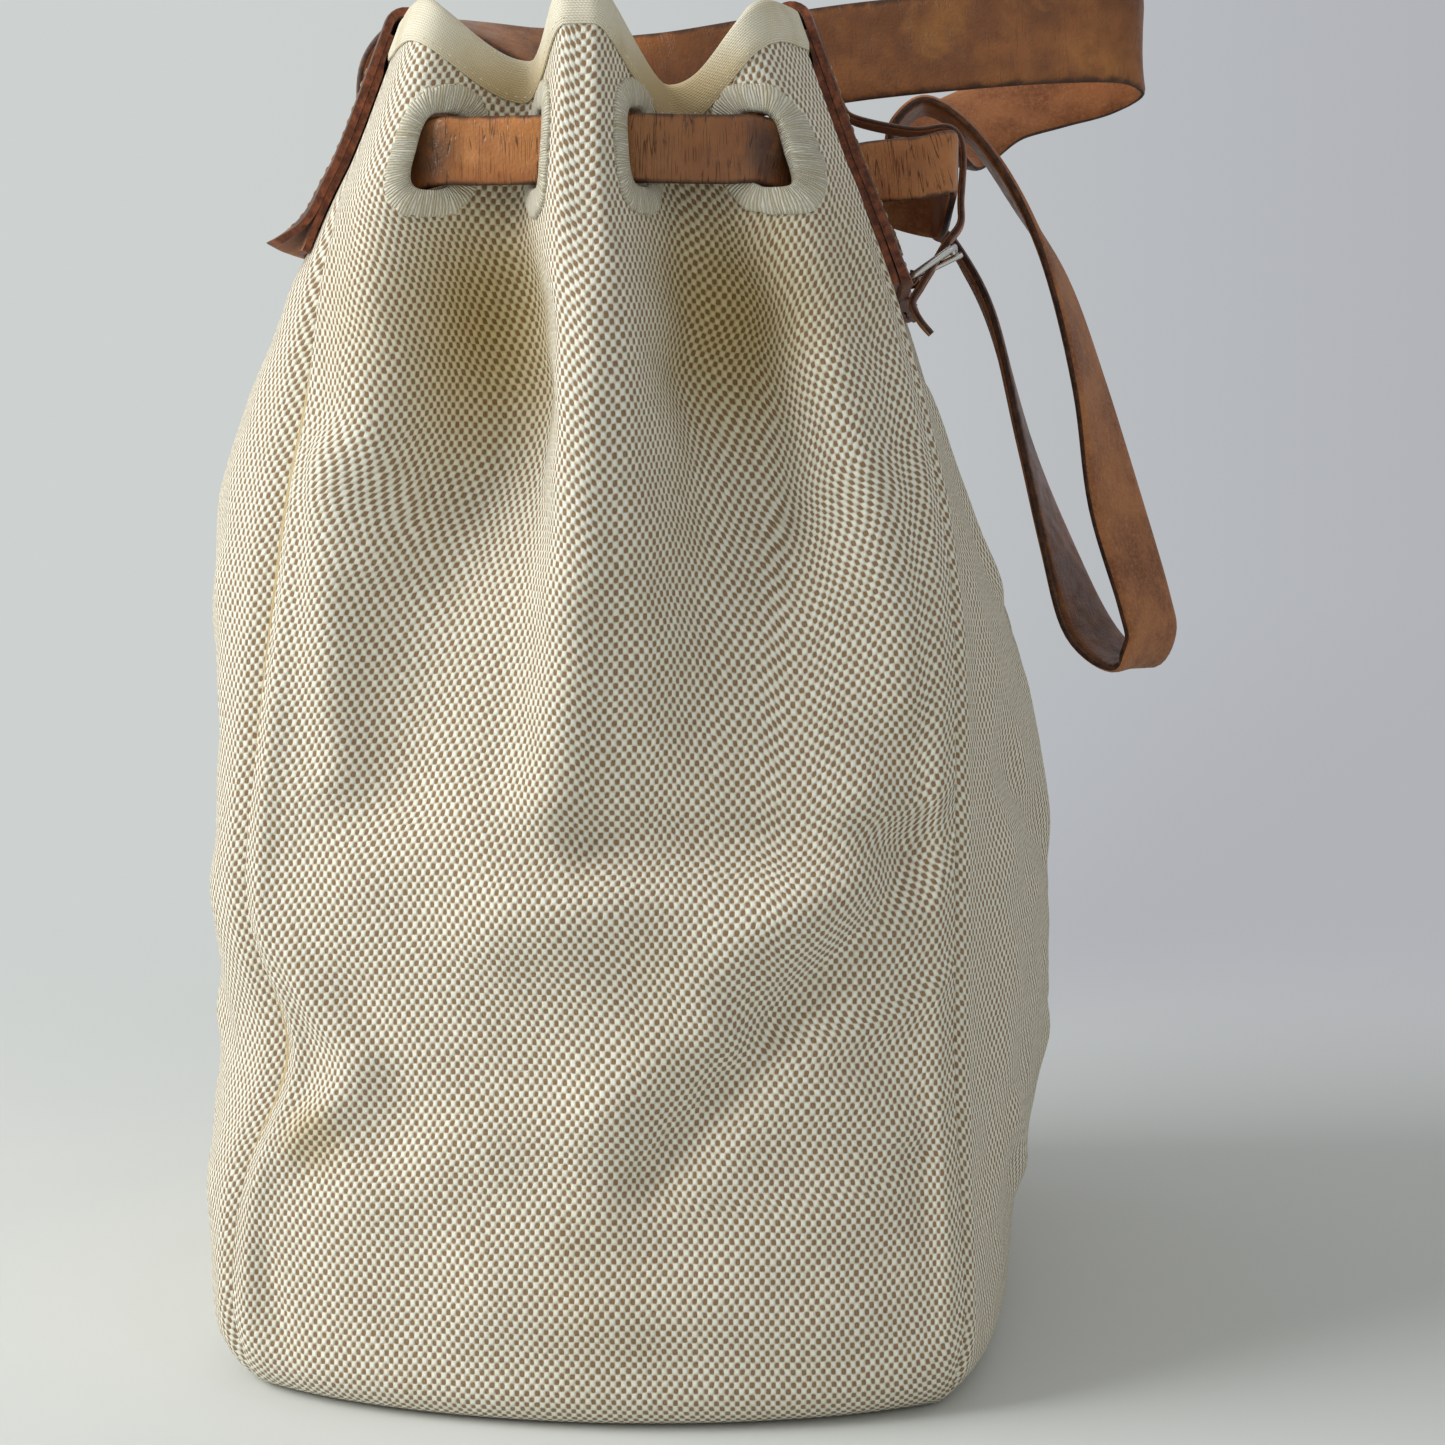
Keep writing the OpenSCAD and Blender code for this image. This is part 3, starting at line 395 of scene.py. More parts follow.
def relief(s, z):
    # each crease is a bell curve of the distance from its line; ripples are sums of sines
    t = np.mod(s, 4.0)
    side = np.floor(t).astype(int)
    u = 2 * (t - np.floor(t)) - 1
    across = u * np.where(side % 2 == 0, bag["endWide"], bag["sideWide"]) / 2
    high = 0 * z + 0 * s
    for panel, lines in creases.items():
        here = 0 * high
        for x0, z0, x1, z1, wide, tall in lines:
            dx, dz = x1 - x0, z1 - z0
            k = np.clip(((across - x0) * dx + (z - z0) * dz) / (dx * dx + dz * dz), 0, 1)
            far = np.hypot(across - x0 - k * dx, z - z0 - k * dz)
            here = here + tall * np.exp(-(far / wide) ** 2)
        high = high + np.where(side == panel, here, 0)
    a, b = across / 10 + 7.3 * side, z / 10
    wave = sum(size * np.sin(p[0] * a + p[1] * b + p[2]) * np.sin(q[0] * a + q[1] * b + q[2])
               for size, p, q in ripples["waves"])
    calm = (1 - ramp(z, *ripples["slotCalm"])) * ramp(z, *ripples["footCalm"])
    end = side % 2 == 0
    fromSeam = (1 - np.abs(u)) * np.where(end, bag["endWide"], bag["sideWide"]) / 2
    deep = ripples["seamTuck"] * np.where(end, 0.5, 1.5)
    tuck = -deep * np.exp(-(fromSeam / ripples["seamWide"]) ** 2) * ramp(z, 0, 12)
    welt = ripples["welt"] * np.exp(-((fromSeam - ripples["weltAt"]) / ripples["weltWide"]) ** 2) \
        * np.where(end, 1.3, 0.3)
    return (high * ease(fromSeam / 14) + ripples["depth"] * wave * ease(fromSeam / 20)) * calm \
        + (tuck + welt * ramp(z, 6, 30)) * (1 - ramp(z, 262, 282))


def onSkin(s, z, off=0.0):     # a point of the canvas, off millimetres out of its outer face
    s, z = np.broadcast_arrays(np.asarray(s, float), np.asarray(z, float))
    return plainSkin(s, z) + (relief(s, z) + off)[..., None] * outward(s, z)


def frontS(y, z):              # s of the front panel, and of the back panel, at a place across
    return 1.5 + y / (2 * plainSkin(np.float64(2.0), np.float64(z))[1])


def backS(y, z):
    return 5 - frontS(y, z)


def atSlot(s, off=-bag["canvas"] / 2):     # a point of the plain surface at slot height
    s, z = np.float64(s % 4), np.float64(bag["slot"])
    return plainSkin(s, z) + off * outward(s, z)


def slab(rows, cols, keep=None, wrap=False):
    # a closed wall between two grids of points, the outer one first; keep leaves cells out,
    # wrap joins the last column to the first. Gives quads, their corners in the unwrapped
    # grid, and 0 outside, 1 inside or 2 edge for each.
    ext = cols + 1 if wrap else cols
    i, j = np.meshgrid(np.arange(rows), np.arange(ext), indexing="ij")
    vert, corner = i * cols + j % cols, i * ext + j
    keep = np.ones((rows - 1, ext - 1), bool) if keep is None else keep
    ring = np.pad(keep, 1)
    if wrap:
        ring[1:-1, 0], ring[1:-1, -1] = keep[:, -1], keep[:, 0]

    def walk(grid):            # the cell's corners a, d, c, b, seen anticlockwise from outside
        return np.stack([grid[:-1, :-1], grid[:-1, 1:], grid[1:, 1:], grid[1:, :-1]], -1)

    sides = [(ring[1:-1, :-2], (3, 0)), (ring[1:-1, 2:], (1, 2)),
             (ring[2:, 1:-1], (2, 3)), (ring[:-2, 1:-1], (0, 1))]
    found = []
    for grid, count in ((vert, rows * cols), (corner, rows * ext)):
        cell = walk(grid)
        parts = [cell[keep], cell[keep][:, ::-1] + count]
        for near, (p, q) in sides:
            edge = cell[keep & ~near]
            parts.append(np.stack([edge[:, q], edge[:, p], edge[:, p] + count, edge[:, q] + count], -1))
        found.append((np.concatenate(parts), [len(p) for p in parts]))
    kind = np.repeat([0, 1, 2, 2, 2, 2], found[0][1])
    return found[0][0], found[1][0], kind


def addPiece(name, verts, quads, mats, body, stands=(), kind=None, uv=None, sharp=55):
    mesh = bpy.data.meshes.new(name)
    mesh.vertices.add(len(verts))
    mesh.vertices.foreach_set("co", (np.asarray(verts, float) * mm).astype(np.float32).ravel())
    mesh.loops.add(quads.size)
    mesh.loops.foreach_set("vertex_index", quads.astype(np.int32).ravel())
    mesh.polygons.add(len(quads))
    mesh.polygons.foreach_set("loop_start", np.arange(0, quads.size, quads.shape[1], dtype=np.int32))
    for mat in mats:
        mesh.materials.append(mat)
    if kind is not None:
        mesh.polygons.foreach_set("material_index", np.minimum(kind, len(mats) - 1).astype(np.int32))
    mesh.polygons.foreach_set("use_smooth", np.ones(len(quads), bool))
    if uv is not None:
        layer = mesh.uv_layers.new(name="lay")
        layer.data.foreach_set("uv", uv.astype(np.float32).ravel())
    mesh.update(calc_edges=True)
    mesh.set_sharp_from_angle(angle=math.radians(sharp))
    made = bpy.data.objects.new(name, mesh)
    bpy.context.scene.collection.objects.link(made)
    if body:
        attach(made, body)
    if stands:
        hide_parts(*stands)
    return made


def addSlab(name, outer, inner, uv, mats, body="bag", stands=(), keep=None, wrap=False):
    # uv holds one pair for each point of the unwrapped grid
    quads, corners, kind = slab(*outer.shape[:2], keep, wrap)
    verts = np.concatenate([outer.reshape(-1, 3), inner.reshape(-1, 3)])
    pairs = np.concatenate([uv.reshape(-1, 2)] * 2)[corners]
    used = np.unique(quads)
    place = np.zeros(len(verts), int)
    place[used] = np.arange(len(used))
    return addPiece(name, verts[used], place[quads], mats, body, stands, kind, pairs)


def lengths(points, axis):     # running length along one axis of a grid
    step = np.linalg.norm(np.diff(points, axis=axis), axis=-1)
    pad = [(0, 0)] * step.ndim
    pad[axis] = (1, 0)
    return np.pad(np.cumsum(step, axis=axis), pad)


def segments(edges, counts):   # even steps between the edges, a given number in each stretch
    parts = [np.linspace(a, b, n + 1)[:-1] for a, b, n in zip(edges[:-1], edges[1:], counts)]
    return np.append(np.concatenate(parts), edges[-1])


weave = dict(
    across=1.17, up=1.5,       # size of one thread crossing, in mm
    cream=(244, 242, 228), shade=(214, 207, 183), brown=(132, 105, 76), stain=(208, 190, 132),
    paler=28, wander=(0.9, 0.7, 0), fray=0.34, uneven=0.16, edge=(-0.52, -0.12), dirt=0.16, depth=0.00042,
    # where the cloth has turned yellow: place, reach and strength; the last two, wide ones in the neck folds
    # under the slots are stain and painted shade in one
    stainAndShadeSpots=[((-0.066, -0.116, 0.064), 0.013, 0.45), ((0.034, -0.104, 0.300), 0.007, 0.5),
           ((-0.026, -0.096, 0.252), 0.046, 0.85), ((0.031, -0.096, 0.254), 0.046, 0.85)],
)


def canvasMaterial():
    # crossings at whole numbers of the lay: cos(pi x) cos(pi y), drawn out towards 1 and -1 by
    # a power, is 1 on cream and -1 on brown; the cream thread is the fatter, so the brown shows
    # as small squares between its ovals
    g = Graph("canvasWeave")
    lay = g.lay()
    wander = g.put("TexNoise", {"Vector": lay, "Scale": 0.22, "Detail": 2.0}, out=1)
    drift = g.put("VectorMath", {0: wander, 1: (0.5, 0.5, 0.5)}, operation="SUBTRACT")
    lay = g.sum(g.stretch(drift, weave["wander"]), lay)
    x, y = g.axis(lay, 0), g.axis(lay, 1)
    waves = [g.calc("COSINE", g.times(v, math.pi)) for v in (x, y)]
    crossing = g.times(*[g.times(g.calc("SIGN", w), g.calc("POWER", g.calc("ABSOLUTE", w), 0.7))
                         for w in waves])
    cell = g.put("VectorMath", {0: g.sum(lay, (0.5, 0.5, 0.5))}, operation="FLOOR")
    own = g.put("TexWhiteNoise", {"Vector": cell})
    fibre = g.noise(g.stretch(lay, (9.0, 1.6, 1)), 1.0, 2.0)
    edge = g.shaken(g.shaken(crossing, fibre, weave["fray"]), own, weave["uneven"])
    light = g.span(edge, *weave["edge"])
    where = g.place()
    cloud = g.noise(where, 14.0, 3.0, 0.6)
    tone = g.plus(g.times(own, 0.55), g.times(cloud, 0.45))
    # the cream ovals fall to the shade colour towards their borders: painted shade between the thread domes,
    # varied by a random tone
    oval = g.times(g.span(edge, -0.28, 0.5), g.span(tone, 0.0, 0.7, 0.72, 1.0))
    cream = g.blend(oval, paint(*weave["shade"]), paint(*weave["cream"]))
    paler = [c + weave["paler"] for c in weave["brown"]]
    brown = g.blend(g.span(fibre, 0.35, 0.7), paint(*weave["brown"]), paint(*paler))
    colour = g.blend(light, brown, cream)
    dirt = g.span(g.noise(g.stretch(where, (1, 1, 0.6)), 26.0, 4.0, 0.65), 0.52, 0.78, 0.0, weave["dirt"])
    colour = g.blend(dirt, colour, paint(*weave["stain"]), "MULTIPLY")
    # stains; the two in the neck folds also darken the folds as painted shade
    for spot, wide, amount in weave["stainAndShadeSpots"]:
        stainAndShade = g.span(g.far(where, spot), wide * 0.2, wide, amount, 0.0)
        colour = g.blend(stainAndShade, colour, paint(*weave["stain"]), "MULTIPLY")
    normal = g.bump(g.plus(g.span(edge, -0.4, 0.9), g.times(fibre, 0.2)), weave["depth"], 0.8)
    return g.finish(colour, 0.88, normal, Sheen_Weight=0.12, Sheen_Roughness=0.5,
                    Specular_IOR_Level=0.25)


# the low colour is painted shade, taken where the rim dips into the folds
twill = dict(line=0.55, slant=0.8, gaps=(208, 200, 174), ribs=(234, 229, 211), worn=(222, 208, 172),
             low=(214, 190, 140), dipShadeFrom=0.302, dipShadeTo=0.317, depth=0.0001)


def tapeMaterial():
    # fine twill: lines along the tape over faint slanting ones, browner where the rim dips into the folds, a
    # painted shade
    g = Graph("cottonTape")
    lay = g.lay()
    x, y = g.axis(lay, 0), g.axis(lay, 1)
    lines = g.calc("SINE", g.times(y, 2 * math.pi / twill["line"]))
    slant = g.calc("SINE", g.times(g.plus(x, y), 2 * math.pi / twill["slant"]))
    ribs = g.plus(g.times(lines, 0.6), g.times(slant, 0.4))
    where = g.place()
    worn = g.noise(where, 45.0, 3.0, 0.6)
    colour = g.blend(g.span(ribs, -1, 0.7), paint(*twill["gaps"]), paint(*twill["ribs"]))
    colour = g.blend(g.span(worn, 0.48, 0.75, 0.0, 0.5), colour, paint(*twill["worn"]), "MULTIPLY")
    # painted shade: browner below a height, in the dips of the rim
    low = g.span(g.axis(where, 2), twill["dipShadeFrom"], twill["dipShadeTo"], 0.75, 0.0)
    colour = g.blend(low, colour, paint(*twill["low"]), "MULTIPLY")
    return g.finish(colour, 0.85, g.bump(ribs, twill["depth"], 0.7), Sheen_Weight=0.1,
                    Specular_IOR_Level=0.25)


satinLook = dict(gaps=(196, 189, 164), thread=(233, 229, 212), worn=(224, 212, 180), shake=1.2,
                 depth=0.00022)


def threadMaterial():
    # satin stitches lie side by side round the slot: one stitch for each unit of the lay
    g = Graph("satinStitch")
    lay = g.lay()
    x = g.axis(lay, 0)
    shake = g.noise(g.stretch(lay, (0.6, 0.5, 1)), 1.0, 2.0)
    ribs = g.calc("SINE", g.times(g.plus(x, g.times(shake, satinLook["shake"])), 2 * math.pi))
    tone = g.noise(g.stretch(lay, (0.35, 0.1, 1)), 1.0, 3.0)
    colour = g.blend(g.span(ribs, -1, 0.2), paint(*satinLook["gaps"]), paint(*satinLook["thread"]))
    colour = g.blend(g.span(tone, 0.42, 0.7, 0.0, 0.5), colour, paint(*satinLook["worn"]), "MULTIPLY")
    return g.finish(colour, 0.7, g.bump(ribs, satinLook["depth"], 0.9), Sheen_Weight=0.15,
                    Specular_IOR_Level=0.3)


canvas, tape, satin = canvasMaterial(), tapeMaterial(), threadMaterial()

panels = dict(
    columns=112, rows=196, footRows=7, trim=1.2,       # the canvas ends this far outside a slot
    names=["leftEndCanvas", "frontCanvas", "rightEndCanvas", "backCanvas"],
    nodes=["left_end_panel", "front_panel", "right_end_panel", "back_panel"],
)
farSlots = tuple(3 - s for s in reversed(bag["endSlots"]))
slits = (frontS(-45, bag["slot"]), frontS(-5, bag["slot"]))


def slotSpan(s, z, centre, wide, high):
    # superellipse round a slot: below 1 inside it
    dx = (s - centre) * slotSpeed(centre) / (wide / 2)
    dz = (z - bag["slot"]) / (high / 2)
    return np.abs(dx) ** 3 + np.abs(dz) ** 3


def threadLay(points):
    # running lengths in thread units, counted from the panel's middle column
    u = lengths(points, 1)
    middle = points.shape[1] // 2
    u = u - u[:, middle:middle + 1]
    return np.stack([u / weave["across"], lengths(points, 0) / weave["up"]], -1)


def addPanel(number, holes, slotWide):
    # rows follow a quarter circle up round the foot, then run evenly to the rim
    name, edge = panels["names"][number], number + 1 - 1e-9
    k, s = np.meshgrid(segments([0, 1, 2], [panels["footRows"], panels["rows"]]),
                       number + np.linspace(0, 1, panels["columns"] + 1), indexing="ij")
    s = np.clip(s, number, edge)
    u = 2 * (s - number) - 1
    footHigh = bag["foot"] + (bag["footCorner"] - bag["foot"]) * np.abs(u) ** 8
    z = np.where(k <= 1, footHigh * (1 - np.cos(np.pi / 2 * np.minimum(k, 1))),
                 mix(footHigh, rimHeight(s), np.maximum(k - 1, 0)))
    outer, inner = onSkin(s, z, 0.0), onSkin(s, z, -bag["canvas"])
    inner[..., 2] = np.maximum(inner[..., 2], np.minimum(bag["canvas"], outer[..., 2] + 0.4))
    midS, midZ = (s[1:, 1:] + s[:-1, :-1]) / 2, (z[1:, 1:] + z[:-1, :-1]) / 2
    keep = np.ones(midS.shape, bool)
    for hole in holes:
        keep &= slotSpan(midS, midZ, hole, slotWide + panels["trim"], bag["slotHigh"] + panels["trim"]) > 1
    made = addSlab(name, outer, inner, threadLay(outer), [canvas],
                   stands=[panels["nodes"][number]], keep=keep)
    middle = (outer + inner) / 2 * mm
    cut = float(lengths(middle, 1)[:, -1].max()), float(lengths(middle, 0)[-1].max())
    print("%s is cut %.0f x %.0f mm" % (name, cut[0] / mm, cut[1] / mm))


addPanel(0, bag["endSlots"], bag["slotWide"])
addPanel(1, slits, bag["slitWide"])
addPanel(2, farSlots, bag["slotWide"])
addPanel(3, (), bag["slotWide"])

base = dict(steps=61, rise=0.25, thick=1.3)


def footLine(s):
    return plainSkin(np.clip(s, 0, 4 - 1e-9), 0 * s)[..., :2]


def addBase():
    # a grid between the four sides' lowest lines (Coons patch), a little raised in the middle
    even = np.linspace(0, 1, base["steps"])
    a, b = np.meshgrid(even, even, indexing="ij")
    near, far = footLine(a), footLine(3 - a)
    leftSide, rightSide = footLine(4 - b - 1e-9), footLine(1 + b)
    corner = [footLine(np.full_like(a, c)) for c in (0.0, 1.0, 2.0, 3.0)]
    a1, b1 = a[..., None], b[..., None]
    flat = near * (1 - b1) + far * b1 + leftSide * (1 - a1) + rightSide * a1 \
        - (corner[0] * (1 - a1) * (1 - b1) + corner[1] * a1 * (1 - b1)
           + corner[2] * a1 * b1 + corner[3] * (1 - a1) * b1)
    border = np.minimum(np.minimum(a, 1 - a), np.minimum(b, 1 - b))
    low = (base["rise"] * ease(border * 9))[..., None]
    inner, outer = np.concatenate([flat, low + base["thick"]], -1), np.concatenate([flat, low], -1)
    addSlab("baseCanvas", inner, outer, flat / np.array([weave["across"], weave["up"]]), [canvas],
            stands=["base_panel"])


addBase()
print("canvas panels are made")

binding = dict(high=8.0, thick=0.9, gap=0.15, columns=101, taper=0.55)
seamTape = dict(half=5.0, thick=0.6, lift=0.7, above=19, below=9)
stitching = dict(wide=5.8, thick=0.9, lift=0.3, lip=0.7, square=0.57, outerSquare=0.78, trackSquare=0.66,
                 fray=(-0.45, 0.35), steps=132, count=118)


def saddle(s, r, outHigh, inHigh, outRows, inRows, arc=8):
    # up the outside, over the rim on a half circle and down the inside; r is the distance
    # from the middle of the canvas
    rimZ = rimHeight(s)
    level = outward(s, rimZ)
    up = unit(np.cross(np.cross(level, [0, 0, 1.0]), level))
    middle = onSkin(s, rimZ, -bag["canvas"] / 2)
    rows = [onSkin(s, rimZ - outHigh * (1 - k), r - bag["canvas"] / 2) for k in outRows]
    rows += [middle + r * (math.cos(t) * level + math.sin(t) * up)
             for t in np.pi * np.arange(arc + 1) / arc]
    rows += [onSkin(s, rimZ - inHigh * k, -r - bag["canvas"] / 2) for k in inRows]
    return np.stack(rows)


def addRimTape():
    # the same saddle twice, a thickness apart; both borders thin out
    s = np.concatenate([np.linspace(n, n + 1, binding["columns"])[:-1] for n in range(4)])
    near = bag["canvas"] / 2 + binding["gap"]
    rows = np.linspace(0, 1, 7)[:-1]
    inner, outer = [saddle(s, r, binding["high"], binding["high"], rows, rows[1:])
                    for r in (near, near + binding["thick"])]
    lap = 1 - binding["taper"] * (np.abs(np.linspace(-1, 1, len(inner))) > 0.94)
    outer = inner + (outer - inner) * lap[:, None, None]
    closed = np.concatenate([outer, outer[:, :1]], 1)
    lay = np.stack([lengths(closed, 1)[6:7].repeat(len(outer), 0), lengths(closed, 0)], -1)
    addSlab("rimTape", outer, inner, lay, [tape], stands=["rim_binding"], wrap=True)


def addSeamTape(name, node, seam):
    # a flat tape up the inside of a seam
    half = seamTape["half"] / speedRound(np.float64(seam + 0.2), np.float64(bag["bellyAt"]))
    z, s = np.meshgrid(np.linspace(bag["foot"] + seamTape["above"], bag["slot"] + seamTape["below"], 120),
                       seam + half * np.linspace(-1, 1, 9), indexing="ij")
    n = outward(s, z)
    outer = plainSkin(s % 4, z) + n * (-bag["canvas"] - seamTape["lift"])
    inner = outer - n * seamTape["thick"]
    lay = np.stack([lengths(outer, 0), lengths(outer, 1)], -1)
    addSlab(name, outer, inner, lay, [tape], stands=node)


addRimTape()
addSeamTape("leftSeamTapeA", ["left_seam_tape"], 0)
addSeamTape("leftSeamTapeB", (), 1)
addSeamTape("rightSeamTapeA", ["right_seam_tape"], 2)
addSeamTape("rightSeamTapeB", (), 3)


def squared(angle, power):     # a circle's two sides, drawn out to a rounded square by the power
    return [np.sign(f(angle)) * np.abs(f(angle)) ** power for f in (np.cos, np.sin)]


def slotRing(centre, seed):
    # a squared ellipse round the slot; its section goes up over the canvas, into the slot
    # and out on the inside. The outer edge frays by a different amount at each thread.
    a = np.linspace(0, 2 * np.pi, 1441)
    halfWide, halfHigh = bag["slotWide"] / 2, bag["slotHigh"] / 2
    x, y = squared(a, stitching["trackSquare"])
    track = np.stack([halfWide * x, halfHigh * y])
    run = np.append(0, np.cumsum(np.linalg.norm(np.diff(track), axis=0)))
    a = np.interp(np.linspace(0, run[-1], stitching["steps"] + 1)[:-1], run, a)    # even steps round it
    rng = np.random.default_rng(seed)
    fray = np.repeat(rng.uniform(*stitching["fray"], stitching["steps"] // 2), 2)
    face, back = stitching["lift"], -bag["canvas"] - stitching["lift"]
    thick, wide, lip = stitching["thick"], stitching["wide"], stitching["lip"]
    # how far out from the slot, height off the canvas, and share of the fraying
    section = [(wide, face, 1), (wide, face + 0.3 * thick, 1), (wide * 0.86, face + 0.75 * thick, 0.6),
               (wide * 0.62, face + 0.96 * thick, 0), (wide * 0.35, face + thick, 0),
               (0.2, face + 0.8 * thick, 0), (-lip * 0.8, face + 0.4 * thick, 0), (-lip, face - 0.4, 0),
               (-lip, back + 0.4, 0), (-lip * 0.8, back - 0.4 * thick, 0), (0.2, back - 0.8 * thick, 0),
               (wide * 0.5, back - thick, 0), (wide * 0.86, back - 0.75 * thick, 0.6), (wide, back, 1)]
    rows = []
    for grow, off, loose in section:
        x, y = squared(a, mix(stitching["square"], stitching["outerSquare"], np.clip(grow / wide, 0, 1)))
        grow = grow + fray * loose
        s = centre + (halfWide + grow) * x / slotSpeed(centre)
        z = bag["slot"] + (halfHigh + grow) * y / speedUp(np.float64(centre), np.float64(bag["slot"]))
        rows.append(onSkin(s, z, off))
    tube = np.stack(rows + rows[:1])
    stitch = np.arange(stitching["steps"] + 1) / stitching["steps"] * stitching["count"]
    lay = np.stack(np.broadcast_arrays(stitch[None, :], np.arange(len(tube))[:, None] * 0.8), -1)
    return tube, lay


def tubeFaces(tube, lay):
    # rows run round the section, the last repeats the first; columns run round the slot.
    # Gives vertices, quads that face outwards and their corners' lay.
    rows, cols = tube.shape[0] - 1, tube.shape[1]
    i, j = np.meshgrid(np.arange(rows), np.arange(cols), indexing="ij")
    nextI, nextJ, ext = (i + 1) % rows, (j + 1) % cols, cols + 1
    quads = np.stack([nextI * cols + j, nextI * cols + nextJ, i * cols + nextJ, i * cols + j], -1)
    corners = np.stack([(i + 1) * ext + j, (i + 1) * ext + j + 1, i * ext + j + 1, i * ext + j], -1)
    return tube[:-1].reshape(-1, 3), quads.reshape(-1, 4), lay.reshape(-1, 2)[corners.reshape(-1, 4)]


def addSlotRings(name, node, centres):
    verts, quads, pairs = zip(*[tubeFaces(*slotRing(centre, 11 * number + 3))
                                for number, centre in enumerate(centres)])
    quads = [q + number * len(verts[0]) for number, q in enumerate(quads)]
    addPiece(name, np.concatenate(verts), np.concatenate(quads), [satin], "bag", [node],
             uv=np.concatenate(pairs), sharp=70)


addSlotRings("leftSlotRings", "left_slot_stitching", bag["endSlots"])
addSlotRings("rightSlotRings", "right_slot_stitching", farSlots)
print("tape and stitched slots are made")

hide = dict(
    edge=(52, 29, 18), cloud=38.0, blotch=70.0, fine=240.0, pores=1150.0,      # a colour, then scales
    cracks=(1.25, 0.9), bend=(1.3, 0.4, 0), border=(0.43, 0.5), fray=0.12, depth=0.00028,
)


def leather(name, base, dark, pale, crack=0.0, gloss=0.42, along=1.0, rubbed=()):
    # grain is fine cells; cracks are the borders of cells drawn out across the strap;
    # the lay's second value runs 0 to 1 across, so both borders can be darkened
    g = Graph(name)
    where = g.place()
    lay = g.lay()
    v = g.axis(lay, 1)
    cloud = g.noise(where, hide["cloud"], 4.0, 0.6)
    fine = g.noise(where, hide["fine"], 3.0, 0.6)
    colour = g.blend(g.span(cloud, 0.36, 0.64), paint(*dark), paint(*base))
    blotch = g.span(g.noise(where, hide["blotch"], 3.0, 0.6, 0.6), 0.52, 0.76, 0.0, 0.55)
    colour = g.blend(blotch, colour, paint(*pale))
    for spot, wide, amount in rubbed:      # painted shade: darker round given spots where the strap lies in shadow
        paintedShade = g.span(g.far(where, tuple(spot * mm)), wide * 0.27, wide, amount, 0.0)
        colour = g.blend(paintedShade, colour, paint(*hide["edge"]))
    colour = g.blend(g.span(fine, 0.45, 0.75, 0.0, 0.35), colour, paint(*dark))
    twist = g.put("TexNoise", {"Vector": lay, "Scale": 0.5, "Detail": 3.0}, out=1)
    bent = g.sum(g.stretch(lay, (hide["cracks"][0] * along, hide["cracks"][1], 0)),
                 g.stretch(twist, hide["bend"]))
    cells = g.put("TexVoronoi", {"Vector": bent, "Scale": 1.0}, feature="DISTANCE_TO_EDGE")
    split = g.span(cells, 0.0, 0.06, 1.0, 0.0)
    broken = g.times(split, g.span(g.noise(g.stretch(lay, (1, 6, 1)), 0.5, 3.0), 0.42, 0.62))
    colour = g.blend(g.times(broken, crack), colour, paint(*hide["edge"]))
    border = g.calc("ABSOLUTE", g.calc("SUBTRACT", v, 0.5))
    worn = g.shaken(border, fine, hide["fray"])
    colour = g.blend(g.span(worn, *hide["border"], 0.0, 0.85), colour, paint(*hide["edge"]))
    pores = g.put("TexVoronoi", {"Vector": where, "Scale": hide["pores"]}, feature="F1")
    height = g.plus(g.times(pores, 0.6), g.times(fine, 0.8))
    height = g.calc("SUBTRACT", height, g.times(broken, 2.2 * crack))
    normal = g.bump(height, hide["depth"], 0.55)
    rough = g.span(fine, 0.3, 0.8, gloss - 0.06, gloss + 0.16)
    return g.finish(colour, rough, normal, Specular_IOR_Level=0.45, Coat_Weight=0.06, Coat_Roughness=0.3)


def suede(name, base, dark):   # the rough flesh side: short fibres over soft blotches
    g = Graph(name)
    where = g.place()
    fuzz = g.noise(where, 900.0, 3.0, 0.7, 0.8)
    cloud = g.noise(where, 60.0, 4.0, 0.6)
    colour = g.blend(g.span(cloud, 0.35, 0.65), paint(*dark), paint(*base))
    colour = g.blend(g.span(fuzz, 0.35, 0.8, 0.0, 0.5), colour, paint(*[c + 30 for c in base]))
    return g.finish(colour, 0.9, g.bump(fuzz, 0.0004, 0.7), Sheen_Weight=0.15, Specular_IOR_Level=0.2)


def rawEdge(name, base, dark):  # cut edge: layers along the strap and a waxed dark stain
    g = Graph(name)
    where = g.place()
    layers = g.noise(where, 420.0, 4.0, 0.7)
    colour = g.blend(g.span(layers, 0.35, 0.7), paint(*dark), paint(*base))
    return g.finish(colour, 0.6, g.bump(layers, 0.0003, 0.7), Specular_IOR_Level=0.35)


# painted shade on the drawstring: where it goes into the first and last slot of each end, and along one outer
# run of each end, in a fold's shadow
drawstringShade = [(atSlot(c), 0.011, 0.75) for c in (0.19, 0.872, 2.128, 2.81)]
drawstringShade += [((atSlot(a) + atSlot(b)) / 2, 0.034, 0.42) for a, b in (bag["endSlots"][2:], farSlots[:2])]
drawGrain = leather("drawstringGrain", (188, 124, 66), (158, 96, 50), (206, 146, 90),
                    crack=0.85, gloss=0.34, rubbed=drawstringShade)
drawFlesh = suede("drawstringFlesh", (176, 120, 76), (142, 90, 54))
patchEdge = rawEdge("patchEdge", (146, 82, 50), (84, 44, 27))
patchGrain = leather("patchGrain", (148, 88, 50), (108, 60, 34), (176, 114, 66), crack=0.35, along=0.4)
strapGrain = leather("strapGrain", (157, 97, 45), (117, 69, 31), (178, 120, 56), crack=0.22)
strapFlesh = suede("strapFlesh", (166, 108, 66), (124, 74, 44))
darkEdge = rawEdge("darkEdge", (92, 56, 36), (48, 28, 18))
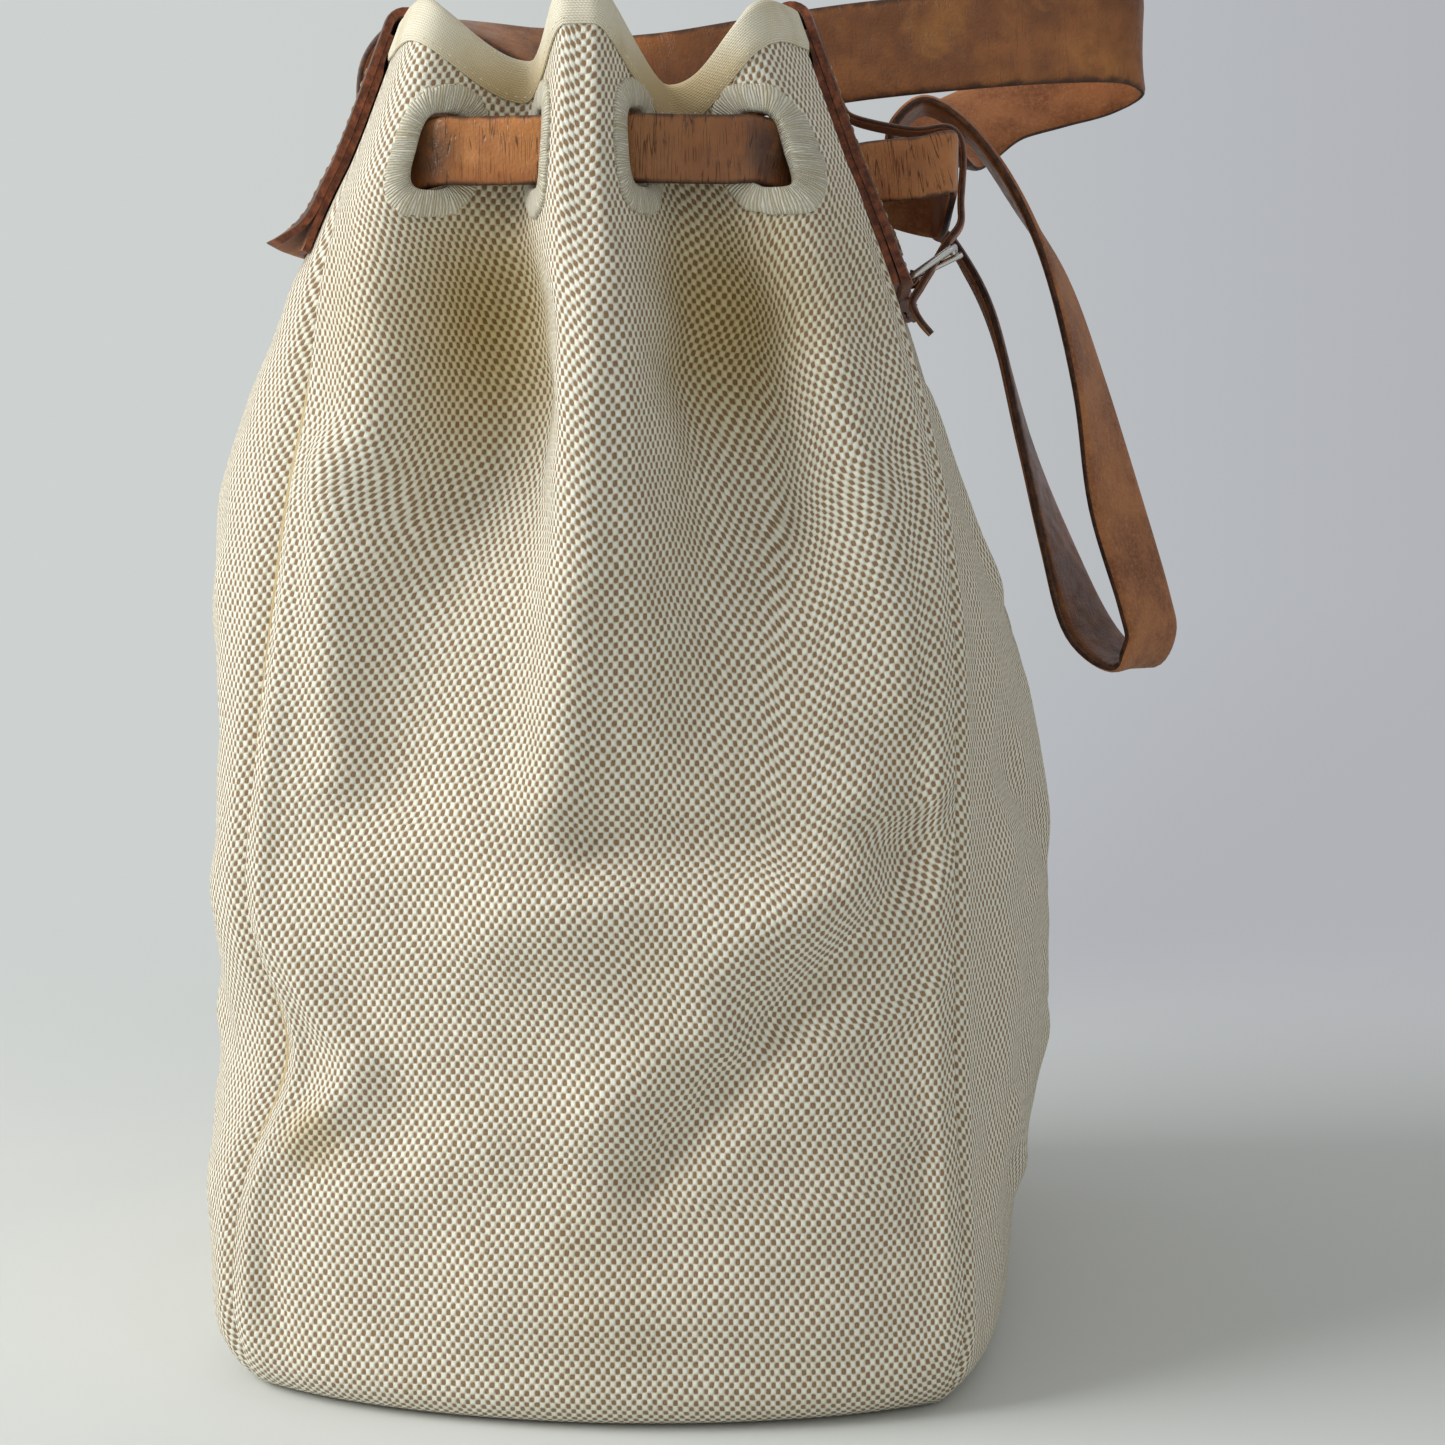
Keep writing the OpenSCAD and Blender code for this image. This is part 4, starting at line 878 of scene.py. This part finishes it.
closureGrain = leather("closureGrain", (186, 112, 64), (136, 78, 44), (208, 140, 88), crack=0.3)

acrossSteps = np.array([-1, -0.97, -0.9, -0.8, -0.6, -0.3, 0, 0.3, 0.6, 0.8, 0.9, 0.97, 1.0])


def smoothCurve(points, steps, closed=False):
    # Catmull-Rom: each point is passed, with a tangent along its two neighbours
    p = np.asarray(points, float)
    n = len(p)
    i = np.arange(n if closed else n - 1)
    pick = (lambda k: p[k % n]) if closed else (lambda k: p[np.clip(k, 0, n - 1)])
    p0, p1, p2, p3 = [pick(i + k)[:, None, :] for k in (-1, 0, 1, 2)]
    t = (np.arange(steps) / steps)[None, :, None]
    out = 0.5 * (2 * p1 + (p2 - p0) * t + (2 * p0 - 5 * p1 + 4 * p2 - p3) * t * t
                 + (3 * p1 - p0 - 3 * p2 + p3) * t * t * t)
    out = out.reshape(-1, p.shape[1])
    return out if closed else np.vstack([out, p[-1:]])


def alongPath(path, closed):
    ahead, behind = np.roll(path, -1, 0), np.roll(path, 1, 0)
    if not closed:
        ahead[-1], behind[0] = path[-1], path[0]
    return unit(ahead - behind)


def ribbon(path, across, width, thick, closed=False, steps=acrossSteps):
    # a strap: half the thickness either side of the path, less towards both borders. Across is
    # the way its width lies, one for all points or one for each.
    across = np.broadcast_to(np.array(across, float), path.shape)
    along = alongPath(path, closed)
    side = unit(across - along * np.sum(across * along, -1, keepdims=True))
    face = np.cross(along, side)
    width = np.broadcast_to(width, (len(path),))
    v = steps[:, None, None]
    half = thick / 2 * (1 - 0.62 * np.abs(v) ** 14)
    middle = path[None] + side[None] * v * width[None, :, None] / 2
    outer, inner = middle + face[None] * half, middle - face[None] * half
    turned = np.vstack([path, path[:1]]) if closed else path
    run = np.concatenate([[0], np.cumsum(np.linalg.norm(np.diff(turned, axis=0), axis=-1))])
    lay = np.stack(np.broadcast_arrays(run[None, :], (steps[:, None] + 1) / 2), -1)
    return outer, inner, lay


patch = dict(wide=168.0, frontHigh=62.0, backHigh=54.0, flap=16.0, thick=2.4, lining=1.2, corner=5.0,
             frontLift=0.6, backLift=5.0, under=0.5, overTape=1.2, liningIn=0.4, liningTop=2.5,
             rows=(16, 12, 8), liningRows=(8, 8, 12), arc=12)
leafIn = bag["canvas"] / 2 + binding["thick"] + patch["lining"] + 0.15
patchFace = leafIn + patch["thick"] - bag["canvas"] / 2
zoneLow, zoneHigh = bag["slot"] - bag["slotHigh"] / 2, bag["slot"] + bag["slotHigh"] / 2


def patchGrid(middle, wide, low, high, holes, step, counts):
    # s from side to side with cells that end on the slits; z from the lower edge to the slit's
    # bottom, its top and the patch's own top; keep leaves the slits out
    half, slit = wide / 2 / slotSpeed(middle), bag["slitWide"] / 2 / slotSpeed(middle)
    edges = [middle - half] + [e for h in holes for e in (h - slit, h + slit)] + [middle + half]
    cells = [6 if i % 2 else max(3, int(math.ceil((edges[i + 1] - edges[i]) / step)))
             for i in range(len(edges) - 1)]
    s = segments(edges, cells)
    k = segments([0, 1, 2, 3], counts)[:, None]
    z = np.where(k <= 1, mix(low(s, half), zoneLow, k),
                 np.where(k <= 2, mix(zoneLow, zoneHigh, k - 1), mix(zoneHigh, high(s), k - 2)))
    keep = np.ones((len(z) - 1, len(s) - 1), bool)
    for hole in holes:
        keep[counts[0]:counts[0] + counts[1], np.abs((s[1:] + s[:-1]) / 2 - hole) < slit] = False
    return s, z, keep


def flapLift(z, lift, outHigh):    # the free lower edge stands off, as a square of the way down
    return lift * np.clip((zoneLow - z) / (zoneLow - bag["rim"] + outHigh), 0, None) ** 2


def strapLay(outer):           # running length up, 0 to 1 across
    across = lengths(outer, 1)
    return np.stack([lengths(outer, 0), across / across[:, -1:]], -1)


def addPatch(name, node, middle, outHigh, lift, holes):
    # the lower corners are quarter circles; above the slits both faces go over the rim
    def lowEdge(s, half):
        side = np.clip((np.abs(s - middle) - half * 0.9) / (half * 0.1), 0, 1)
        return bag["rim"] - outHigh + patch["corner"] * (1 - np.sqrt(1 - side * side))

    s, z, keep = patchGrid(middle, patch["wide"], lowEdge, rimHeight, holes, 0.015, patch["rows"])
    grids = []
    for r in (leafIn + patch["thick"], leafIn):
        body = onSkin(np.broadcast_to(s, z.shape), z, r - bag["canvas"] / 2 + flapLift(z, lift, outHigh))
        over = saddle(s, r, 1.0, patch["flap"], [], np.linspace(0, 1, 8)[1:], arc=patch["arc"])
        grids.append(np.concatenate([body[:-1], over]))
    outer, inner = grids
    keep = np.pad(keep, ((0, len(outer) - len(z)), (0, 0)), constant_values=True)
    border = np.minimum(np.arange(len(s)), np.arange(len(s))[::-1])
    thin = 0.25 * patch["thick"] * (border == 0) + 0.06 * patch["thick"] * (border == 1)
    outer = outer - unit(outer - inner) * thin[None, :, None]
    addSlab(name, outer, inner, strapLay(outer), [patchGrain, strapFlesh, patchEdge],
            stands=[node], keep=keep)


def addLining(name, node, middle, outHigh, holes):
    # fills the room between the canvas, or the rim tape further up, and the patch
    s, z, keep = patchGrid(middle, patch["wide"] - 2 * patch["liningIn"],
                           lambda s, half: bag["rim"] - outHigh + 1,
                           lambda s: rimHeight(s) - patch["liningTop"], holes, 0.02, patch["liningRows"])
    wideS = np.broadcast_to(s, z.shape)
    under = mix(patch["under"], patch["overTape"], ramp(z, rimHeight(s) - 10.5, rimHeight(s) - 9))
    outer, inner = onSkin(wideS, z, leafIn - bag["canvas"] / 2 - 0.1), onSkin(wideS, z, under)
    addSlab(name, outer, inner, strapLay(outer), [strapFlesh, strapFlesh, patchEdge],
            stands=[node], keep=keep)


addPatch("frontPatchLeather", "front_patch", 1.5, patch["frontHigh"], patch["frontLift"], slits)
addPatch("backPatchLeather", "back_patch", 3.5, patch["backHigh"], patch["backLift"], ())
addLining("frontLining", "front_patch_lining", 1.5, patch["frontHigh"], slits)
addLining("backLining", "back_patch_lining", 3.5, patch["backHigh"], ())

draw = dict(wide=15.0, thick=3.0, loopOut=22.0, lift=3.0, droop=5.0, slotPass=0.014, slitPass=0.007,
            clear=2)
innerOff = -bag["canvas"] - seamTape["lift"] - seamTape["thick"] - draw["thick"] / 2 - draw["clear"]


def endRoute(slots, first, last):
    # in at the first slot, straight outside between slots, inside across the middle lobe
    w = [atSlot(s) for s in slots]
    return [atSlot(slots[0] + first), mix(w[0], w[1], 0.33), mix(w[0], w[1], 0.67), w[1],
            mix(w[1], w[2], 0.5), w[2], mix(w[2], w[3], 0.33), mix(w[2], w[3], 0.67),
            atSlot(slots[3] + last)]


def insideRoute(places, deeper=0):
    return [atSlot(s, innerOff - deeper) for s in places]


nearLoop, farLoop = atSlot(slits[0], patchFace), atSlot(slits[1], patchFace)
reach, high, low = draw["loopOut"], draw["lift"], draw["droop"]
loopOutward = [(0, 0, 0), (reach - 7, 0.5, high / 2), (reach - 1.5, 2, high), (reach, 7, high),
               (reach - 1, 20, 0)]
loopBack = [(reach - 2, -7, -low), (reach - 4, -2, -low), (reach - 10, -0.5, -low * 0.7), (0, 0, 0)]
drawPoints = [
    *endRoute(bag["endSlots"], 0, -draw["slotPass"]), *insideRoute((0.95, 1.06)),
    *insideRoute([mix(1.06, slits[0], 0.6)], 1), *insideRoute([slits[0] - draw["slitPass"]]),
    *[nearLoop + np.array(d) for d in loopOutward], *[farLoop + np.array(d) for d in loopBack],
    *insideRoute([slits[1] + draw["slitPass"]]),
    *insideRoute([mix(slits[1], 1.94, k) for k in (0.3, 0.7)], 1),
    *insideRoute((1.96, 2.07)), *endRoute(farSlots, draw["slotPass"], 0), *insideRoute([2.93]),
    *insideRoute((3.05, 3.2, 3.4, 3.6, 3.8, 3.95), 1.5), *insideRoute([4.07])]
path = smoothCurve(drawPoints, 7, closed=True)
outer, inner, lay = ribbon(path, (0, 0, 1), draw["wide"], draw["thick"], closed=True)
addSlab("drawstringLeather", outer, inner, lay, [drawGrain, drawFlesh, darkEdge],
        stands=["drawstring"], wrap=True)
drawLength = float(lay[0, -1, 0])

closure = dict(wide=13.0, thick=1.8, y=-25.0, lean=31.0, wire=0.9, play=0.35, ears=0.8, high=12.0,
               crossing=14.5, tailOut=5.5, tipOut=7.0, tipLong=4.0, prong=0.8, barAbove=4, tailBelow=6,
               roundTip=5.5, holeFrom=-3.0, holeTo=8.0, corner=1.6, tongueOver=1.2, eyeWire=0.28)


def faceAt(y, z, off):         # a point off the front patch's face
    return onSkin(frontS(y, z), z, patchFace + off)


y, slotZ, half = closure["y"], bag["slot"], closure["thick"] / 2
barZ = bag["rim"] - patch["frontHigh"] + closure["barAbove"]
barOff = 0.5 + closure["ears"] + closure["play"] + closure["wire"]
bar = faceAt(y, barZ, barOff) * np.array([1, 0, 1]) + np.array([0, y, 0])
overBar = closure["wire"] + closure["play"] + closure["ears"] + 0.15 + half
lean = math.radians(closure["lean"])


def fromBar(x, z):             # x and z away from the bar, leaned with the buckle
    return bar + np.array([x * math.cos(lean) + z * math.sin(lean), 0,
                           z * math.cos(lean) - x * math.sin(lean)])


def tailAt(z, off):
    return onSkin(frontS(y, z), z, half + off)


midX, overLoop = nearLoop[0] + reach - 1, draw["thick"] / 2 + half + 0.8
tailZ = bag["rim"] - patch["frontHigh"] - closure["tailBelow"]
path = smoothCurve([
    faceAt(y, slotZ + 24, half + 0.5), faceAt(y, slotZ + 18, half + 0.5), faceAt(y, slotZ + 14, half + 3),
    (midX - 9, y, slotZ + closure["crossing"] - 0.5), (midX, y, slotZ + closure["crossing"]),
    (midX + overLoop + 0.3, y, slotZ + 9.5), (midX + overLoop, y, slotZ - 3),
    fromBar(overBar + 0.4, closure["high"] + 6), fromBar(overBar - 0.1, closure["high"]),
    fromBar(overBar, 5), fromBar(overBar, 0), fromBar(overBar + 0.3, -5),
    tailAt(tailZ, closure["tailOut"]), tailAt(tailZ - closure["tipLong"], closure["tipOut"])], 8)
fromTip = np.linalg.norm(path - path[-1], axis=-1)
tip = np.sqrt(np.clip(1 - (1 - np.clip(fromTip / closure["roundTip"], 0, 1)) ** 2, 0.04, 1))
hole = (closure["prong"] + closure["play"]) * 2 / closure["wide"]
steps = np.array([-1, -0.96, -0.88, -0.7, -0.45, -hole, 0, hole, 0.45, 0.7, 0.88, 0.96, 1.0])
# the route crossed with +Y points into the patch, so ribbon's inner face is the grain
outer, inner, lay = ribbon(path, (0, 1, 0), closure["wide"] * tip, closure["thick"], steps=steps)
away = (path[1:] + path[:-1]) / 2 - bar
climb = away[:, 0] * math.sin(lean) + away[:, 2] * math.cos(lean)
keep = np.ones((len(steps) - 1, len(path) - 1), bool)
keep[5:7, (climb > closure["holeFrom"]) & (climb < closure["holeTo"]) & (away[:, 2] < 20)] = False
addSlab("closureLeather", outer, inner, lay, [closureGrain, strapFlesh, darkEdge],
        stands=["closure_strap"], keep=keep)


def silver():
    g = Graph("silverPlate")
    where = g.place()
    haze = g.noise(where, 160.0, 3.0)
    rubbed = g.noise(g.stretch(where, (1, 1, 6)), 600.0, 2.0)
    colour = g.blend(haze, paint(206, 206, 202), paint(226, 225, 220))
    normal = g.bump(rubbed, 0.00004, 0.5)
    return g.finish(colour, g.span(haze, 0.3, 0.7, 0.16, 0.3), normal, Metallic=1.0)


plate = silver()


def wire(points, radius, sides=14, closed=False):
    # a round tube: circles at right angles to the path
    p = np.asarray(points, float)
    along = alongPath(p, closed)
    first = unit(np.cross(along, np.array([0.31, 0.2, 0.93])))
    second = np.cross(along, first)
    a = np.linspace(0, 2 * np.pi, sides + 1)[:-1]
    n = len(p)
    radius = np.broadcast_to(radius, (n,))
    circle = np.cos(a)[None, :, None] * first[:, None] + np.sin(a)[None, :, None] * second[:, None]
    rings = p[:, None] + circle * radius[:, None, None]
    i, j = np.meshgrid(np.arange(n if closed else n - 1), np.arange(sides), indexing="ij")
    quads = np.stack([i * sides + j, i * sides + (j + 1) % sides, (i + 1) % n * sides + (j + 1) % sides,
                      (i + 1) % n * sides + j], -1).reshape(-1, 4)
    if not closed:             # a fan of quads closes each end
        k = np.arange(0, sides - 2, 2)
        cap = np.stack([0 * k, k + 1, k + 2, (k + 3) % sides], -1)
        quads = np.concatenate([quads, cap[:, ::-1], cap + (n - 1) * sides])
    return rings.reshape(-1, 3), quads


def roundedLoop(wide, long, corner, steps=8):
    # a rectangle with round corners, from (-wide, 0) to (wide, long)
    middles = np.array([(wide - corner, corner), (wide - corner, long - corner),
                        (-wide + corner, long - corner), (-wide + corner, corner)])
    a = np.linspace(0, np.pi / 2, steps)[None] - np.pi / 2 + np.arange(4)[:, None] * np.pi / 2
    return (middles[:, None] + corner * np.stack([np.cos(a), np.sin(a)], -1)).reshape(-1, 2)


def addBuckle():
    # the frame leans over the strap on its bar; the tongue lies on the frame's far side
    rise = overBar + half + closure["play"] + closure["wire"] + 0.1
    long = math.hypot(rise, closure["high"])
    frameLean = lean + math.atan(rise / closure["high"])
    halfWide = closure["wide"] / 2 + closure["wire"] + 2 * closure["play"]
    flat = roundedLoop(halfWide, long, closure["corner"])
    loop = bar + np.stack([flat[:, 1] * math.sin(frameLean), flat[:, 0],
                           flat[:, 1] * math.cos(frameLean)], -1)
    verts, quads = wire(loop, closure["wire"], closed=True)
    addPiece("buckleWire", verts, quads, [plate], "buckle_frame", ["buckle_frame"])

    prongLean = frameLean + math.asin((closure["wire"] + closure["prong"] + closure["play"]) / long)
    aim = np.array([math.sin(prongLean), 0, math.cos(prongLean)])
    along = np.linspace(0.6, long + closure["tongueOver"], 24)
    radius = closure["prong"] * np.sqrt(np.clip((long + 2.0 - along) / 1.4, 0.02, 1))
    verts, quads = wire(bar + along[:, None] * aim, radius)
    eye = closure["wire"] + closure["play"] + 0.25
    a = np.linspace(0, 2 * np.pi, 29)[:-1]
    eyePath = bar + np.stack([eye * np.cos(a), 0 * a, eye * np.sin(a)], -1)
    eyeVerts, eyeQuads = wire(eyePath, closure["eyeWire"], closed=True)
    addPiece("buckleTongue", np.concatenate([verts, eyeVerts]),
             np.concatenate([quads, eyeQuads + len(verts)]), [plate], "buckle_prong",
             ["buckle_prong"])


def addKeeperEar(name, hand, stands):
    # an arc that wraps the bar and a straight run up under the closure strap
    ear = (closure["wide"] - 2 * closure["prong"]) / 2 - 2 * closure["play"]
    slope = math.atan2(faceAt(y, barZ, 0)[0] - faceAt(y, barZ + 10, 0)[0], 10)
    r = closure["wire"] + closure["play"] + closure["ears"] / 2
    a = np.linspace(-0.42 * np.pi, np.pi, 22)
    out, up = np.concatenate([[r * np.cos(a), -r * np.sin(a)],
                              [np.full(8, -r), np.linspace(0.8, 9.0, 8)]], -1)
    across = np.full(len(out), hand * (closure["wide"] - ear) / 2)
    path = bar + np.stack([out * math.cos(slope) - up * math.sin(slope), across,
                           up * math.cos(slope) + out * math.sin(slope)], -1)
    outer, inner, lay = ribbon(path, (0, -1, 0), ear, closure["ears"])
    addSlab(name, outer, inner, lay, [closureGrain, strapFlesh, darkEdge], stands=stands)


addBuckle()
addKeeperEar("keeperEarA", -1, ["buckle_chape"])
addKeeperEar("keeperEarB", 1, ())
print("patches, drawstring and closure are made, the drawstring is %.0f mm long" % drawLength)

# each point of the strap's route, then the way its width lies
strap = dict(
    wide=27.0, thick=3.0, y=17.0, anchorZ=296.0, splitAt=305, blendZ=(0.285, 0.305),
    # from the back anchor up
    behind=[[(0, 0, -1), (0, 1, 0)], [(0, 0, 6), (0, 1, 0)], [(-1, 0, 14), (0, 1, 0)],
            [(0, 0, 30), (0, 1, 0)], [(8, 1, 40), (0, 1, 0)], [(18, 4, 43), (0, 1, 0.1)]],
    # over the mouth, from the middle of the rim
    over=[[(-32, 27, 10), (0.1, 0.9, 0.5)], [(-16, 36, 5), (0, 0.6, 0.8)], [(0, 43, 4), (0, 0.2, 1)],
          [(28, 52, 9), (0, 0, 1)], [(56, 60, 14), (0, 0, 1)], [(94, 66, 18), (0, 0, 1)],
          [(120, 74, 20), (0, 0, 1)], [(132, 82, 20), (0, 0, 1)], [(133, 91, 17), (0, 0.1, 1)],
          [(124, 96, 12), (0, 0.3, 0.9)], [(110, 96, 7), (0, 0.5, 0.8)], [(94, 92, 1), (0, 0.6, 0.7)],
          [(82, 84, -7), (0.1, 0.6, 0.7)]],
    # the hanging loop, from the front anchor
    before=[[(8, 54, 8), (0.2, 0.8, 0.5)], [(7, 41, -4), (0.1, 0.9, 0.2)], [(12, 32, -11), (0, 1, 0.1)],
            [(19, 26, -19), (0, 1, 0)], [(28, 21, -37), (0, 1, 0)], [(37, 15, -70), (0.1, 1, 0)],
            [(46, 11, -98), (0.3, 0.9, 0)], [(55, 7, -121), (0.5, 0.8, 0)], [(66, 3, -130), (0.5, 0.8, 0)],
            [(71, 1, -123), (0.5, 0.8, 0)], [(69, 0, -112), (0.5, 0.8, 0.1)], [(61, 0, -86), (0.5, 0.8, 0.1)],
            [(54, 0, -56), (0.3, 0.9, 0.1)], [(45, 0, -27), (0.2, 1, 0)], [(34, 0, -6), (0, 1, 0)],
            [(22, 0, 11), (0, 1, 0)], [(10, 0, 19), (0, 1, 0)], [(2, 0, 14), (0, 1, 0)],
            [(0, 0, 6), (0, 1, 0)], [(0, 0, -1), (0, 1, 0)]],
)
tipZ = strap["anchorZ"] - strap["wide"] / 2


def backFaceAt(y, z, off):
    return onSkin(backS(y, z), z, patchFace + off)


def anchor(face, hand):        # where the strap turns off a patch, towards +X or -X
    x = face(strap["y"], tipZ - 3, 0)[0] + hand * (strap["thick"] / 2 + 0.3)
    return np.array([x, strap["y"], strap["anchorZ"]])


def rootPoints(face, lift, outHigh):    # up the patch from the sewn tip to just below the anchor
    z = np.array([tipZ - 9.5, tipZ - 4, tipZ + 2, tipZ + 8])
    off = strap["thick"] / 2 + 0.15 + 0.1 * np.arange(4) + flapLift(z, lift, outHigh)
    return [face(strap["y"], h, o) for h, o in zip(z, off)]


frontAnchor, backAnchor = anchor(faceAt, 1), anchor(backFaceAt, -1)
backFoot = rootPoints(backFaceAt, patch["backLift"], patch["backHigh"])
frontFoot = rootPoints(faceAt, patch["frontLift"], patch["frontHigh"])
points = [*backFoot, *[backAnchor + p for p, _ in strap["behind"]],
          *[np.array(p) + (0, 0, bag["rim"]) for p, _ in strap["over"]],
          *[frontAnchor + p for p, _ in strap["before"]], *frontFoot[::-1]]
lies = [(0, 1, 0)] * 4 + [d for _, d in strap["behind"] + strap["over"] + strap["before"]] + [(0, 1, 0)] * 4
path, across = smoothCurve(points, 8), smoothCurve(lies, 8)
run = np.concatenate([[0], np.cumsum(np.linalg.norm(np.diff(path, axis=0), axis=-1))])
tip = np.minimum(run, run[-1] - run) / (strap["wide"] / 2)
roundEnds = np.sqrt(np.clip(1 - (1 - np.clip(tip, 0, 1)) ** 2, 0.02, 1))
outer, inner, lay = ribbon(path, across, strap["wide"] * roundEnds, strap["thick"])


def addStrapPart(name, part, stands, body=None):
    return addSlab(name, outer[:, part], inner[:, part], lay[:, part], [strapGrain, strapFlesh, darkEdge],
                   body, stands)


def addStrapRoot(name, part, stands):    # its foot stays on the patch, its top turns with the strap
    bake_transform(addStrapPart(name, part, stands))


cutA = int(np.argmax(path[:, 2] > strap["splitAt"]))
cutB = len(path) - 1 - int(np.argmax(path[::-1, 2] > strap["splitAt"]))
addStrapRoot("backStrapRoot", slice(0, cutA + 1), ["back_strap_tab"])
addStrapRoot("frontStrapRoot", slice(cutB, None), ["front_strap_tab"])
addStrapPart("shoulderStrapLeather", slice(cutA, cutB + 1), ["shoulder_strap"], "shoulder_strap")
print("shoulder strap is made, %.0f mm along its middle" % run[-1])

sewing = dict(pitch=3.1, rimPitch=2.3, share=0.66, thick=0.42, proud=0.04, sunk=0.3, inset=4.5, rootIn=2.6)


def sewingThread(name, pale, dark):    # two twisted strands
    g = Graph(name)
    strands = g.noise(g.place(), 1400.0, 2.0)
    colour = g.blend(g.span(strands, 0.35, 0.65), paint(*dark), paint(*pale))
    return g.finish(colour, 0.7, g.bump(strands, 0.0001, 0.6), Specular_IOR_Level=0.3)


def addStitches(name, rows, mat, pitch=sewing["pitch"]):
    # beads along each row of points: five six-sided rings whose ends sink into what is sewn
    verts, quads = [], []
    t = np.linspace(-1, 1, 5)
    swell = np.sqrt(1 - 0.92 * t * t)[None, :, None, None]
    a = (np.arange(6) * np.pi / 3)[None, None, :, None]
    i, j = np.meshgrid(np.arange(4), np.arange(6), indexing="ij")
    bead = np.stack([i * 6 + j, (i + 1) * 6 + j, (i + 1) * 6 + (j + 1) % 6, i * 6 + (j + 1) % 6], -1)
    ends = [[0, 1, 2, 3], [0, 3, 4, 5], [27, 26, 25, 24], [29, 28, 27, 24]]
    bead = np.concatenate([bead.reshape(-1, 4), ends])
    total = 0
    for points, normals in rows:
        run = np.append(0, np.cumsum(np.linalg.norm(np.diff(points, axis=0), axis=-1)))
        count = max(1, int(run[-1] // pitch))
        at = (np.arange(count)[:, None] + 0.5 + sewing["share"] * t / 2) * run[-1] / count
        place = np.stack([np.interp(at, run, points[:, k]) for k in range(3)], -1)
        up = unit(np.stack([np.interp(at, run, normals[:, k]) for k in range(3)], -1))
        side = unit(np.cross(unit(place[:, -1:] - place[:, :1]), up))
        radius = sewing["thick"] / 2
        high = sewing["proud"] * swell - sewing["sunk"] * (1 - swell) + radius * swell * np.sin(a)
        ring = place[:, :, None] + up[:, :, None] * high + side[:, :, None] * radius * swell * np.cos(a)
        verts.append(ring.reshape(-1, 3))
        quads.append((bead[None] + 30 * np.arange(count)[:, None, None] + total).reshape(-1, 4))
        total += 30 * count
    addPiece(name, np.concatenate(verts), np.concatenate(quads), [mat], "bag")


def patchSeam(middle, outHigh, lift):
    # down one side of a patch, along its lower edge and up the other side
    half = (patch["wide"] / 2 - sewing["inset"]) / slotSpeed(middle)
    low, high = bag["rim"] - outHigh + sewing["inset"], bag["rim"] - bag["farDip"] - 1
    s = np.concatenate([np.full(30, middle - half), np.linspace(middle - half, middle + half, 90),
                        np.full(30, middle + half)])
    z = np.concatenate([np.linspace(high, low, 30), np.full(90, low), np.linspace(low, high, 30)])
    return onSkin(s, z, patchFace + flapLift(z, lift, outHigh)), outward(s, z)


def rootSeam(foot, hand):
    # a half circle that follows the strap's round end
    a = np.linspace(0.06, np.pi - 0.06, 40)
    far = strap["wide"] / 2 - sewing["rootIn"]
    z = foot[0][2] + strap["wide"] / 2 - far * np.sin(a)
    x = np.interp(z, [p[2] for p in foot], [p[0] for p in foot]) + hand * strap["thick"] / 2
    return np.stack([x, strap["y"] - far * np.cos(a), z], -1), np.tile([hand, 0.0, 0.0], (40, 1))


def rimSeam(number):           # along the lower border of the rim tape on an end panel
    s = number + np.linspace(0.02, 0.98, 240)
    z = rimHeight(s) - binding["high"] + 1.2
    return onSkin(s, z, binding["gap"] + binding["thick"] - 0.2), outward(s, z)


tanThread = sewingThread("tanThread", (206, 172, 124), (166, 126, 82))
creamThread = sewingThread("creamThread", (236, 230, 212), (204, 194, 168))
addStitches("patchStitches", [patchSeam(1.5, patch["frontHigh"], patch["frontLift"]),
                              patchSeam(3.5, patch["backHigh"], patch["backLift"])],
            tanThread)
addStitches("strapStitches", [rootSeam(frontFoot, 1), rootSeam(backFoot, -1)],
            tanThread)
addStitches("rimStitches", [rimSeam(0), rimSeam(2)], creamThread, sewing["rimPitch"])
print("stitches are made")


def boardMaterial():           # pressed fibres: short dark and pale flecks
    g = Graph("pressedFibre")
    where = g.place()
    flecks = g.noise(g.stretch(where, (1, 3, 1)), 420.0, 4.0, 0.7)
    cloud = g.noise(where, 30.0, 3.0)
    colour = g.blend(g.span(flecks, 0.4, 0.65), paint(96, 70, 48), paint(132, 100, 70))
    colour = g.blend(g.span(cloud, 0.4, 0.7, 0, 0.4), colour, paint(84, 62, 44))
    return g.finish(colour, 0.8, g.bump(flecks, 0.0002, 0.6), Specular_IOR_Level=0.3)


board = bpy.data.objects["base_board"]
for slot in board.material_slots:
    slot.material = boardMaterial()
